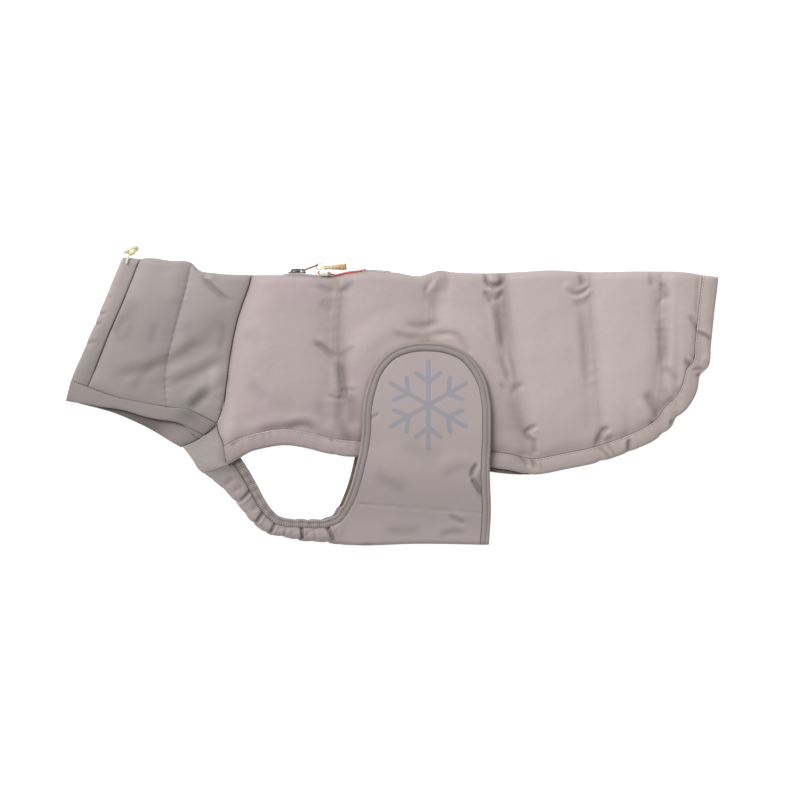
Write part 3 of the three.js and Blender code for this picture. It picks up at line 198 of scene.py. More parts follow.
def is_inside(outline: Array, points: Array) -> Array:
    """Whether points lie in a closed outline, by the even-odd rule."""
    shape = points.shape[:-1]
    x, y = points.reshape(-1, 2).T[:, :, None]
    a, b = outline, np.roll(outline, 1, axis=0)
    rise = np.where(a[:, 1] == b[:, 1], 1e-12, b[:, 1] - a[:, 1])
    spans = (a[:, 1] > y) != (b[:, 1] > y)
    left = x < (b[:, 0] - a[:, 0]) * (y - a[:, 1]) / rise + a[:, 0]
    return (np.count_nonzero(spans & left, axis=1) % 2 == 1).reshape(shape)


@dataclass(frozen=True)
class Crease:
    """A soft trough pressed into cloth, or a ridge where its depth is negative.

    Its lip is a low ridge beside it: on the left of its route, or on the right where the lip is negative.
    """

    route: Rows
    depth: float
    width: float
    lip: float = 0.0

    def relief(self, points: Array) -> Array:
        """Height change: minus depth times a bell of the distance, plus the lip's bell, both faded at the ends."""
        chain = Line(self.route).chain(14) if len(self.route) > 2 else np.array(self.route, float) * [1, -1]
        reach = 4 * self.width + 1
        near = np.all((points > chain.min(0) - reach) & (points < chain.max(0) + reach), axis=-1)
        result = np.zeros(points.shape[:-1])
        if not near.any():
            return result
        distance, share, side = nearest_on(chain, points[near])
        fade = ease(0, 0.3, share) * ease(0, 0.3, 1 - share)
        lip_at = distance * side * np.sign(self.lip) - 1.9 * self.width
        result[near] = fade * (abs(self.lip) * bell(lip_at, self.width) - self.depth * bell(distance, self.width))
        return result


def creases(*rows: tuple[float, ...]) -> tuple[Crease, ...]:
    """Reads rows of depth, width, lip and then the route's x and drop in turn."""
    return tuple(Crease(tuple(zip(row[3::2], row[4::2])), *row[:3]) for row in rows)


def pressed(table: tuple[Crease, ...], points: Array) -> Array:
    """The sum of all creases' height changes at the points."""
    return sum((crease.relief(points) for crease in table), np.zeros(points.shape[:-1]))


def folds(table: tuple[Crease, ...], points: Array) -> Array:
    """How deep in the creases' troughs the points are, from 0 to 1 at 2 mm."""
    return np.clip(-pressed(table, points) / 2, 0, 1)


def rounded_edge(distance: Array, radius: float) -> Array:
    """How far a face has turned down at a distance from its edge: a quarter circle of that radius."""
    inward = np.clip(radius - distance, 0, radius)
    return radius - np.sqrt(np.maximum(radius**2 - inward**2, 0))


# Main creases: depth, width and lip, then the route's x and drop in turn, in millimetres

SHELL_CREASES = creases(
    (2.3, 2.6, 1.2, 52, 59, 64, 67, 74, 76), (1.7, 2.9, -0.7, 73, 73, 77, 87, 79, 98, 80, 113),
    (1, 2.4, 0, 74, 75, 81, 69, 90, 63), (0.8, 2, 0.4, 75, 103, 83, 101, 91, 103),
    (1.2, 2, -0.5, 65, 105, 73, 108, 80, 107), (1.3, 3.4, -0.5, 54, 9, 64, 15, 73, 18),
    (1.3, 2.9, 0, 71, 18, 81, 14, 88, 5), (0.8, 3.6, 0, 58, 25, 64, 30, 71, 34),
    (0.7, 4.8, 0.3, 55, 108, 61, 121, 68, 134), (0.9, 3.1, 0, 6, 139, 17, 135, 29, 137),
    (1.6, 3.4, 0.7, 26, 137, 34, 133, 45, 131, 58, 137), (0.8, 2.4, 0, -20, 149, -9, 144, 3, 140),
    (0.5, 6, 0.3, -8, 52, 0, 58, 10, 66), (0.7, 5.4, 0.4, -4, 94, 5, 102, 15, 113),
    (0.4, 7.2, 0, 11, 109, 26, 115, 41, 113), (-1.4, 6, 0, -7, 139, 11, 131, 34, 127),
    (1.8, 6, 0, 82, 103, 87, 116, 87, 135), (-2, 5, 0, 151, 20, 157, 9, 166, -2),
    (1.7, 2.4, 0, 147, 20, 151, 13, 156, 5, 159, -1), (1.2, 3.4, 0, 170, -1, 167, 10, 163, 22),
    (0.9, 3.4, 0, 148, 17, 154, 23, 157, 34), (1.4, 3.4, -0.7, 130, 43, 140, 46, 150, 46, 162, 40),
    (1.2, 2.9, 0.5, 120, 51, 131, 56, 145, 58), (1.4, 2.6, -0.7, 155, 55, 167, 53, 181, 55),
    (1.2, 2.9, 0, 174, 52, 181, 60, 189, 71),
    (3.8, 2, 0, 200, -1, 201, 7, 204, 11, 209, 12, 213, 10, 215, 5, 215, -1), (-1.4, 3.8, 0, 208, 0, 209, 5, 209, 9),
    (2, 2.2, 0.8, 198, 16, 202, 20, 207, 27), (1.6, 2.2, 0, 216, 15, 212, 21, 207, 26),
    (-1.3, 2.2, 0, 201, 13, 209, 17, 215, 12), (2.1, 3.1, -1, 209, 23, 213, 46, 216, 70),
    (1.3, 2.6, 0.8, 213, 68, 217, 81, 221, 97), (1, 2.6, 0.5, 220, 107, 226, 100, 235, 95),
    (1.2, 2.2, 0, 212, 94, 218, 100, 223, 97), (0.8, 5, 0, 218, 105, 229, 128, 240, 146),
    (2.3, 1.9, 1, 247, 131, 239, 134, 235, 138, 238, 143, 247, 145), (1.8, 2.3, 0, 241, 143, 242, 150, 243, 157),
    (2.3, 2.9, 0, 282, 1, 283, 6, 284, 13), (2, 1.6, 0, 270, 16, 277, 19, 284, 17, 291, 11),
    (-1.3, 2.2, 0, 271, 19, 279, 23, 286, 20, 293, 13), (0.9, 2.9, 0, 273, 25, 282, 28, 291, 22),
    (-0.9, 2.2, 0, 267, 17, 271, 11, 276, 16), (1.2, 3.8, -0.5, 283, 25, 285, 51, 287, 77, 288, 106),
    (2.3, 2.4, -1, 298, 152, 297, 144, 301, 136, 309, 132), (0.8, 3.6, 0, 291, 151, 302, 145, 314, 140),
    (1.4, 2.4, 0, 344, -1, 342, 7, 344, 14), (1.7, 2.6, -0.7, 350, 8, 354, 17, 356, 26),
    (0.9, 2.2, 0, 345, 15, 351, 22, 348, 28, 351, 34), (1.4, 3.1, -0.8, 350, 39, 353, 63, 351, 85),
    (1.2, 2.6, 0.7, 350, 81, 359, 87, 369, 95), (2.6, 4.8, -1.2, 334, 102, 342, 110, 348, 121, 350, 132),
    (2.5, 2.2, 1.2, 340, 127, 347, 133, 352, 142), (2.3, 1.9, 0.9, 353, 116, 356, 123, 361, 127),
    (0.8, 2.9, 0.4, 350, 99, 357, 106, 362, 115), (0.7, 2.6, 0, 361, 109, 354, 113, 351, 120),
    (1.6, 2.4, 0.7, 374, 36, 380, 45, 385, 54), (2, 2, 0.9, 369, 73, 377, 81, 385, 86),
    (2, 1.6, 0, 373, 84, 378, 86, 384, 90), (0.8, 2.9, 0, 373, 69, 382, 74, 391, 71),
)  # fmt: skip
HEM_CREASES = creases(
    (1.4, 1.6, 0.4, 69, 135, 69, 140, 69, 147), (0.8, 1.8, 0, -19, 150, -13, 146, -8, 142),
    (2.4, 1.8, -1.2, 323, 142, 323, 148, 323, 155), (1.4, 1.5, 0.6, 296, 148, 303, 155, 309, 162),
    (1, 1.5, 0.4, 302, 145, 308, 152, 314, 160), (1.4, 1.8, 0.8, 226, 155, 232, 161, 238, 168),
    (1.8, 2, 0.8, 241, 153, 241, 161, 244, 170), (1.8, 1.8, 0.9, 349, 138, 354, 142, 360, 145),
    (2.4, 1.6, 0, 360, 125, 360, 131, 365, 137), (2.4, 1.4, 1.2, 380, 51, 388, 54, 396, 60),
    (2, 1.5, 0, 380, 87, 385, 90, 391, 94), (-1.2, 3.3, 0, 385, 74, 392, 75, 396, 74),
    (1.2, 1.6, 0, 376, 85, 382, 83, 389, 84),
)  # fmt: skip
COLLAR_CREASES = creases(
    (2.4, 2.2, 1, -45, 1, -39, 8, -33, 14, -17, 28),
    (1.5, 5, 0.4, -124, 90, -98, 85, -82, 80, -67, 75, -52, 66, -32, 56),
    (1.2, 4.5, 0.6, -76, 99, -59, 92, -39, 83, -19, 72), (2.4, 4.4, 1.4, -55, 120, -45, 111, -36, 103, -30, 99),
    (-2.2, 6.5, 0, -24, 81, -31, 94, -39, 110), (1.2, 8, 0, -99, 20, -105, 42, -112, 68),
    (0.9, 8.5, 0, -15, 29, -38, 57, -68, 86), (-1.4, 9, 0, -66, -6, -63, 14, -66, 31),
    (-1.4, 4, 0, -30, 99, -26, 108, -28, 119), (0.8, 4.2, 0, -80, 41, -83, 53, -85, 66),
    (0.8, 3.6, 0.3, -108, 37, -113, 46, -117, 56), (0.6, 5, 0, -57, 41, -52, 58, -53, 70),
    (0.6, 4, 0.3, -102, 107, -94, 92, -79, 78), (0.8, 3.6, 0, -23, 42, -24, 59, -29, 70),
)  # fmt: skip
COLLAR_CASING_CREASES = creases(
    (0.9, 1.4, 0.4, -133, 39, -129, 36, -124, 36), (0.9, 1.4, 0.4, -137, 48, -132, 45, -127, 44),
    (0.7, 1.2, 0, -109, -8, -106, -11, -103, -17), (0.7, 1.2, 0, -101, -7, -100, -12, -100, -17),
    (0.5, 1.6, 0.3, -142, 63, -136, 60, -131, 60), (0.5, 1.6, 0, -126, 24, -122, 22, -118, 22),
)  # fmt: skip
FLAP_CREASES = creases(
    (3, 1.9, -0.8, 187, 175, 193, 184, 199, 193), (1.1, 2.2, 0.5, 168, 207, 176, 212, 185, 216),
    (1.3, 1.6, 0, 88, 236, 97, 234, 105, 233), (1, 1.1, 0, 101, 125, 105, 124, 110, 121),
    (0.6, 5.5, 0.2, 104, 171, 122, 182, 137, 187), (0.5, 7, 0, 127, 146, 146, 156, 169, 155),
    (0.6, 4.5, 0.3, 162, 176, 175, 169, 192, 168), (0.6, 4, 0.3, 111, 220, 128, 223, 149, 221),
    (0.8, 2.6, 0.3, 159, 227, 172, 223, 186, 224), (0.8, 2.4, 0, 200, 170, 195, 181, 198, 194),
    (2.1, 2, 0.6, 194, 163, 189, 171, 188, 177),
)  # fmt: skip
STRAP_CREASES = creases(
    (1.6, 1.5, 0.8, 1, 185, -5, 192, -12, 198), (2.2, 1.5, 0.9, 14, 200, 8, 209, 1, 219),
    (2, 1.4, 0.7, 23, 210, 19, 218, 14, 229), (2.8, 1.3, 0.8, 42, 210, 43, 221, 45, 237),
    (2.8, 1.7, 1, 60, 210, 67, 222, 74, 238), (0.6, 1.8, 0.3, 29, 216, 29, 222, 27, 228),
    (0.5, 1.8, 0.2, 53, 217, 54, 223, 55, 231), (0.5, 2.4, 0.3, -15, 175, -20, 180, -25, 182),
    (0.5, 2.2, 0.2, -7, 182, -11, 185, -16, 188), (0.6, 2.6, 0.3, 82, 213, 80, 222, 78, 231),
    (0.6, 1.8, 0.3, 6, 198, 3, 202, -1, 205),
)  # fmt: skip


# Painted shade of the fold beside each quilt line, which also deepens the cloth's valley there: drop in millimetres,
# then the five lines

SEAM_SHADES = (
    (0, 0.1, 0.3, 0.25, 0.2, 0.05), (20, 0.3, 0.35, 0.65, 0.25, 0.2), (60, 0.5, 0.15, 0.5, 0.3, 0.35),
    (90, 0.6, 0, 0.35, 0.22, 0.35), (120, 0.6, 0, 0.25, 0.18, 0.3), (150, 0.5, 0, 0.2, 0.2, 0.3),
)  # fmt: skip


# Meshes


@dataclass(frozen=True)
class Body:
    """A closed body between an outer and an inner grid of points, joined round the rim.

    Attributes:
        outer: columns by rows by xyz.
        inner: the same grid on the inner face.
        marks: named numbers for each grid place, which become point attributes on both faces.
    """

    outer: Array
    inner: Array
    marks: dict[str, Array] = field(default_factory=dict)

    def mesh(self, name: str) -> bpy.types.Object:
        """Makes the mesh, with its faces turned outwards."""
        columns, rows = self.outer.shape[:2]
        points = np.concatenate([self.outer.reshape(-1, 3), self.inner.reshape(-1, 3)])
        out = np.arange(columns * rows).reshape(columns, rows)
        within = out + columns * rows
        faces = [quads_between(out), quads_between(within)[:, ::-1]]
        for edge_out, edge_in in ((out[0], within[0]), (within[-1], out[-1])):
            faces.append(np.stack([edge_out[:-1], edge_in[:-1], edge_in[1:], edge_out[1:]], axis=-1)[:, ::-1])
        for edge_out, edge_in in ((within[:, 0], out[:, 0]), (out[:, -1], within[:, -1])):
            faces.append(np.stack([edge_out[:-1], edge_in[:-1], edge_in[1:], edge_out[1:]], axis=-1)[:, ::-1])
        marks = {key: np.concatenate([values.ravel()] * 2) for key, values in self.marks.items()}
        return make_mesh(name, points, np.concatenate(faces), marks)

    def area(self) -> float:
        """The middle face's area in square metres: the mean of both faces' quads."""
        total = 0.0
        for grid in (self.outer, self.inner):
            a, b = grid[1:, 1:] - grid[:-1, :-1], grid[1:, :-1] - grid[:-1, 1:]
            total += 0.25 * float(np.linalg.norm(np.cross(a, b), axis=-1).sum())
        return total * MM * MM


def quads_between(index: Array) -> Array:
    """The quads of a grid of vertex numbers."""
    return np.stack([index[:-1, :-1], index[1:, :-1], index[1:, 1:], index[:-1, 1:]], axis=-1).reshape(-1, 4)


def signed_volume(points: Array, faces: Array) -> float:
    """Six times the volume: the sum of triple products over each face's fan of triangles."""
    a = points[faces[:, 0]]
    total = 0.0
    for k in range(1, faces.shape[1] - 1):
        total += float((a * np.cross(points[faces[:, k]], points[faces[:, k + 1]])).sum())
    return total


def make_mesh(name: str, points: Array, faces: Array, marks: dict[str, Array] | None = None) -> bpy.types.Object:
    """Puts pattern points into a new object's mesh, in the part's frame.

    Args:
        name: the object's name.
        points: pattern millimetres.
        faces: vertex numbers, all with the same count of corners.
        marks: point attributes.

    Returns:
        The new object, at the origin.
    """
    if signed_volume(points - points.mean(axis=0), faces) < 0:
        faces = faces[:, ::-1]
    mesh = bpy.data.meshes.new(name)
    mesh.vertices.add(len(points))
    mesh.vertices.foreach_set("co", ((points + PATTERN_TO_FRAME) * MM).astype(np.float32).ravel())
    mesh.loops.add(faces.size)
    mesh.loops.foreach_set("vertex_index", faces.astype(np.int32).ravel())
    mesh.polygons.add(len(faces))
    mesh.polygons.foreach_set("loop_start", np.arange(0, faces.size, faces.shape[1], dtype=np.int32))
    mesh.update(calc_edges=True)
    mesh.shade_smooth()
    for key, values in (marks or {}).items():
        attribute = mesh.attributes.new(key, "FLOAT", "POINT")
        attribute.data.foreach_set("value", values.astype(np.float32).ravel())
    made = bpy.data.objects.new(name, mesh)
    bpy.context.scene.collection.objects.link(made)
    return made


def finish_piece(
    made: bpy.types.Object, body: str, slot: str, material: bpy.types.Material, *nodes: str
) -> bpy.types.Object:
    """Gives a piece its material and body, and hides the CAD nodes it stands for."""
    made.data.materials.clear()
    made.data.materials.append(material)
    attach(made, body)
    if nodes:
        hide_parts(*nodes)
    log.info("%s: %d faces on %s", made.name, len(made.data.polygons), body)
    return made


def tube(route: Array, radius: Array | float, sides: int) -> tuple[Array, Array, dict[str, Array]]:
    """A closed round tube along a route.

    At each point two normals that are carried along without twist span the ring: centre + radius (cos a n + sin a b).

    Args:
        route: points in order.
        radius: one for all or one for each point.
        sides: corners of a ring.

    Returns:
        Points, triangles and the marks "along" in millimetres and "around" from 0 to 1.
    """
    count = len(route)
    run = np.gradient(route, axis=0)
    run /= np.linalg.norm(run, axis=1, keepdims=True)
    start = np.array([0.0, 0.0, 1.0]) if abs(run[0, 2]) < 0.9 else np.array([1.0, 0.0, 0.0])
    normals = np.empty_like(route)
    carried = start
    for i in range(count):
        carried = carried - run[i] * (carried @ run[i])
        carried = carried / np.linalg.norm(carried)
        normals[i] = carried
    across = np.cross(run, normals)
    angle = np.linspace(0, 2 * math.pi, sides, endpoint=False)
    width = np.broadcast_to(radius, (count,))[:, None, None]
    ring = np.cos(angle)[None, :, None] * normals[:, None] + np.sin(angle)[None, :, None] * across[:, None]
    points = (route[:, None] + width * ring).reshape(-1, 3)
    points = np.concatenate([points, route[:1], route[-1:]])
    index = np.arange(count * sides).reshape(count, sides)
    closed = np.concatenate([index, index[:, :1]], axis=1)
    first, last = count * sides, count * sides + 1
    quads = quads_between(closed)
    caps = [
        np.stack([closed[0, :-1], closed[0, 1:], np.full(sides, first)], axis=-1),
        np.stack([closed[-1, 1:], closed[-1, :-1], np.full(sides, last)], axis=-1),
    ]
    triangles = np.concatenate([quads[:, [0, 1, 2]], quads[:, [0, 2, 3]], *caps])
    reach = np.concatenate([[0], np.cumsum(np.linalg.norm(np.diff(route, axis=0), axis=1))])
    along = np.concatenate([np.repeat(reach, sides), reach[[0, -1]]])
    around = np.concatenate([np.tile(np.arange(sides) / sides, count), [0, 0]])
    return points, triangles, {"along": along, "around": around}


def merged(parts: list[tuple[Array, Array, dict[str, Array]]]) -> tuple[Array, Array, dict[str, Array]]:
    """Joins several (points, faces, marks) into one."""
    offset, faces = 0, []
    for points, quads, _ in parts:
        faces.append(quads + offset)
        offset += len(points)
    marks = {key: np.concatenate([part[2][key] for part in parts]) for key in parts[0][2]}
    return np.concatenate([part[0] for part in parts]), np.concatenate(faces), marks


@dataclass(frozen=True)
class Levels:
    """Heights of a folded sheet's four faces: the upper layer's top and underside, the lower's top and underside."""

    top: Array
    under: Array
    lower_top: Array
    lower_under: Array


@dataclass(frozen=True)
class FoldedSheet:
    """A sheet folded back on itself.

    plan(s, t) runs from the fold at t = 0 to the edge at t = 1. The upper layer is read from the edge to the fold,
    the fold is half an ellipse between the layers, and the lower layer is read back to the edge.
    """

    plan: Callable[[Array, Array], Array]
    columns: Array
    upper: Array
    lower: Array
    fold: float
    wall: float
    length: Callable[[Array], Array]
    levels: Callable[[Array, Array, Array, bool], Levels]
    shift: Callable[[Array, Array, bool], Array] | None = None
    marks: Callable[[Array, Array, Array], dict[str, Array]] | None = None
    fold_steps: int = 14

    def build(self) -> Body:
        """Works out both grids."""
        s = self.columns[:, None]
        reach = self.length(self.columns)[:, None]
        start = self.fold / reach
        upper_t = start + (1 - start) * self.upper[::-1][None, :]
        lower_t = start + (1 - start) * self.lower[None, :]
        upper = self.levels(*self._spread(s, upper_t), False)
        lower = self.levels(*self._spread(s, lower_t), True)
        angle = np.pi * np.arange(1, self.fold_steps) / self.fold_steps
        turn = (1 - np.sin(angle))[None, :]
        outer_t = self.fold * turn / reach
        inner_t = (self.wall + (self.fold - self.wall) * turn) / reach

        def between(high: Array, low: Array) -> Array:
            """Half an ellipse's heights from high to low."""
            return (high[:, -1:] + low[:, :1]) / 2 + (high[:, -1:] - low[:, :1]) / 2 * np.cos(angle)[None, :]

        t_out = np.concatenate([upper_t, outer_t, lower_t], axis=1)
        t_in = np.concatenate([upper_t, inner_t, lower_t], axis=1)
        z_out = np.concatenate([upper.top, between(upper.top, lower.lower_under), lower.lower_under], axis=1)
        z_in = np.concatenate([upper.under, between(upper.under, lower.lower_top), lower.lower_top], axis=1)
        is_lower = np.arange(t_out.shape[1]) >= self.upper.size + self.fold_steps // 2
        outer = np.concatenate([self._place(s, t_out, is_lower), z_out[..., None]], axis=-1)
        inner = np.concatenate([self._place(s, t_in, is_lower), z_in[..., None]], axis=-1)
        wide = np.broadcast_to(s, t_out.shape)
        marks = self.marks(self.plan(wide, t_out), wide, t_out) if self.marks else {}
        return Body(outer, inner, {**marks, "under_side": np.broadcast_to(is_lower * 1.0, t_out.shape)})

    def _spread(self, s: Array, t: Array) -> tuple[Array, Array, Array]:
        """The plan's points with s and t as full grids."""
        wide = np.broadcast_to(s, t.shape)
        return self.plan(wide, t), wide, t

    def _place(self, s: Array, t: Array, is_lower: Array) -> Array:
        """The plan's points with each layer's own shift."""
        wide = np.broadcast_to(s, t.shape)
        place = self.plan(wide, t)
        if self.shift is None:
            return place
        moved = np.where(is_lower[None, :, None], self.shift(wide, t, True), self.shift(wide, t, False))
        return place + moved


def patch(
    top: Callable[[Array], Array],
    bottom: Callable[[Array], Array],
    left: Callable[[Array], Array],
    right: Callable[[Array], Array],
) -> Callable[[Array, Array], Array]:
    """A four-sided patch: the lines' blends by s and t, less the blend of the four corners."""

    def at(s: Array, t: Array) -> Array:
        """The patch's point."""
        s, t = np.asarray(s, float)[..., None], np.asarray(t, float)[..., None]
        zero, one = np.zeros(()), np.ones(())
        return (
            top(s[..., 0]) * (1 - t)
            + bottom(s[..., 0]) * t
            + left(t[..., 0]) * (1 - s)
            + right(t[..., 0]) * s
            - top(zero) * (1 - s) * (1 - t)
            - top(one) * s * (1 - t)
            - bottom(zero) * (1 - s) * t
            - bottom(one) * s * t
        )

    return at


# The cut and how it lies


class Outlines:
    """The cut pieces' outlines as they lie, and the heights that they share."""

    back_length = 400.0
    seam_gap = 0.1
    rest_gap = 0.4
    hem_width = 13.5
    binding_width = 7.6
    shell_wall = 3.4
    hem_top = 8.8
    dome_rise = 6.6
    dome_reach = 22.0
    belly_lift = 3.9
    collar_top_at_seam = 8.0
    collar_rise = 4.0
    collar_reach = 18.0

    def __init__(self) -> None:
        """Draws the outlines from their tables."""
        self.spine_rows: Rows = (
            (0, 2.6), (41.4, 2.6), (70.5, 3), (82, 0.5), (122.7, 0.4), (145.9, 3), (153.6, 0.6), (160.4, -1.2),
            (171, 0), (229.8, 0), (253.8, -1.5), (289.8, 0), (341.2, -0.6), (375.4, 0.6), (386.5, 2.6),
        )  # fmt: skip
        self.spine = Line(self.spine_rows)
        self.hem = Line((
            (-21.3, 162.7), (-7.5, 155.9), (8.8, 151.3), (28.5, 148.4), (48.2, 151.2), (62.8, 155), (75.6, 157.3),
            (113.3, 158.9), (154.4, 162.7), (187, 167.9), (205.8, 171.3), (225.5, 173.4), (245.2, 173.4),
            (269.2, 168.9), (298.3, 162.7), (324, 153.7), (348, 142.2), (359.3, 132.8), (363.8, 125.8),
            (373.7, 116.1), (381.4, 102.4), (385.2, 88.6), (391.3, 80.5), (393.4, 62.5), (396.4, 33.7), (400, 4.1),
        ))  # fmt: skip
        self.neck = Line((
            (0, 2.6), (-2.6, 12.7), (-8, 27.9), (-11.7, 39.5), (-14.9, 53), (-18.7, 74), (-21.5, 95), (-24.6, 115.2),
            (-29.7, 129.8),
        ))  # fmt: skip
        gusset_rows: Rows = ((-29.7, 129.8), (-27.8, 138.5), (-24.6, 145.4), (-23.6, 149.2))
        self.gusset_seam = Line(gusset_rows)
        self.gusset_and_hem_end = Line(
            (*gusset_rows, (-22.2, 158), (-21.5, 163.2), (-20.6, 164.1), (-14.5, 161.4), (-9.9, 159.4))
        )
        self.collar_top = Line(((-95.7, -11.2), (-90.5, -12), (-70, -9.8), (-51.5, -7.8), (-45.1, -1.7), (-31.4, 0.9), (0, 2.6)))
        self.front = Line(((-110.5, -12.6), (-126.5, 25.7), (-132.5, 40.3), (-155.1, 92.9)))
        self.casing_seam = Line(((-95.7, -11.2), (-111.4, 27.9), (-118.8, 44.5), (-140.2, 98.5)))
        self.collar_seam = Line((
            (-155.1, 92.9), (-140.2, 98.5), (-117.1, 106.9), (-98.4, 111.2), (-71.7, 116.1), (-51.1, 119),
            (-42.6, 123.2), (-29.7, 129.8),
        ))  # fmt: skip
        self.throat_seam = Line(((-29.7, 129.8), (-39, 138.5), (-48.3, 145), (-59.4, 149.6)))
        self.gusset_fold = Line(((-59.4, 149.6), (-51.1, 160.8), (-46.4, 168.4), (-42, 172.4)))
        self.strap_end = Line(((-42, 172.4), (-31.5, 170), (-21.3, 165.8), (-9.6, 160)))
        self.belly_fold = Line((
            (-40.8, 173), (-23.7, 187.2), (-11.7, 200.4), (1.1, 215.8), (13.1, 224.6), (28.5, 227.8), (41.4, 230.7),
            (60, 232), (74, 233.8), (93.6, 234.6), (137, 233.2), (203.3, 233.8),
        ))  # fmt: skip
        self.belly_edge = Line((
            (-9.2, 160.6), (-4.3, 167.4), (4.9, 183.3), (10.8, 194.1), (16.7, 202.9), (22.5, 208.4), (30, 211),
            (39.3, 211.6), (52.1, 212), (64, 211.4), (71, 208.6), (76.9, 201.3), (84.2, 185), (89.3, 167),
            (93.2, 148.2), (94.6, 136.7), (95.3, 117.6), (98.8, 99.9), (105.6, 82.1), (117.9, 68.4), (134.3, 61.6),
            (150.7, 60.2), (168.4, 62.3), (183.5, 69.1), (193, 79.4), (199.8, 91.6), (203.9, 109.4), (204.9, 136.7),
            (203.8, 170.9), (204.9, 206.4), (203.3, 233.8),
        ))  # fmt: skip
        self.flap_outline = np.concatenate([self.belly_edge.chain(80), self.belly_fold.chain(40)[::-1]])
        self.neck_chain = np.concatenate([self.neck.chain(24), self.gusset_seam.chain(6)])
        self.shell_outline = np.concatenate([self.hem.chain(90), self.spine.chain(20)[::-1], self.neck_chain])

    def depth_in_shell(self, points: Array) -> Array:
        """How far inside the hem's edge points lie, negative outside."""
        distance = nearest_on(self.hem.chain(90), points)[0]
        return np.where(is_inside(self.shell_outline, points), distance, -distance)

    def outside_flap(self, points: Array) -> Array:
        """How far outside the flap's outline points lie, 0 inside."""
        distance = nearest_on(self.flap_outline, points)[0]
        return np.where(is_inside(self.flap_outline, points), 0.0, distance)

    def lift(self, points: Array) -> Array:
        """The right-hand belly flap lies under the coat and lifts the cloth above it."""
        return self.belly_lift * (1 - ease(13, 36, self.outside_flap(points)))

    def dome(self, points: Array) -> Array:
        """The pile's top without its quilting: low at the hem and neck seams, then 1 - e^-distance."""
        from_seam = np.maximum(0, self.depth_in_shell(points) - self.hem_width)
        by_neck = 0.75 * np.exp(-nearest_on(self.neck_chain, points)[0] / 7)
        return self.lift(points) + self.hem_top + self.dome_rise * (1 - np.exp(-from_seam / self.dome_reach)) * (1 - by_neck)

    def hem_seam(self, share: Array, width: Array | float) -> Array:
        """The hem's edge moved in by a width, square to the neck seam and the spine at its ends."""
        share = np.asarray(share, float)
        width = np.asarray(width, float)
        along = (share * self.hem.length)[..., None]
        neck_end = np.array([-2.3, self.hem_width]) / math.hypot(2.3, self.hem_width)
        tail_end = np.array([-self.hem_width, 1.5]) / math.hypot(self.hem_width, 1.5)
        left = self.hem.length - along
        turned = (
            neck_end * (1 - ease(0, 30, along))
            + self.hem.normal(share, 16) * ease(0, 30, along) * ease(0, 34, left)
            + tail_end * (1 - ease(0, 34, left))
        )
        turned /= np.linalg.norm(turned, axis=-1, keepdims=True)
        return self.hem.at(share) + turned * width[..., None]

    def collar_dome(self, points: Array) -> Array:
        """The collar's top: low at its lower seam, then 1 - e^-distance."""
        from_seam = nearest_on(self.collar_seam.chain(40), points)[0]
        return self.collar_top_at_seam + self.collar_rise * (1 - np.exp(-from_seam / self.collar_reach))

    def belly_seam(self, share: Array, width: Array | float) -> Array:
        """The bound edge moved in by a width, along the strap's end and the belly fold at its ends."""
        share = np.asarray(share, float)
        width = np.asarray(width, float)
        along = (share * self.belly_edge.length)[..., None]
        left = self.belly_edge.length - along
        strap_end = np.array([-1, -0.55]) / math.hypot(1, 0.55)
        fold_end = np.array([-1.0, 0.0])
        turned = (
            strap_end * (1 - ease(0, 12, along))
            - self.belly_edge.normal(share, 6) * ease(0, 12, along) * ease(0, 16, left)
            + fold_end * (1 - ease(0, 16, left))
        )
        turned /= np.linalg.norm(turned, axis=-1, keepdims=True)
        return self.belly_edge.at(share) + turned * width[..., None]


def beside_fold(x: float, edge: float, fold: float, high: float, low: float, degrees: float, away: float) -> Array:
    """A point beside a fold's outer face: on its crest at 90 degrees, where its upper layer begins at 0."""
    angle = math.radians(degrees)
    half = (high - low) / 2
    outward = np.array([math.sin(angle) / fold, math.cos(angle) / half])
    outward /= np.linalg.norm(outward)
    return np.array([
        x,
        edge - fold * (1 - math.sin(angle)) + away * outward[0],
        (high + low) / 2 + half * math.cos(angle) + away * outward[1],
    ])  # fmt: skip


# Shader graphs


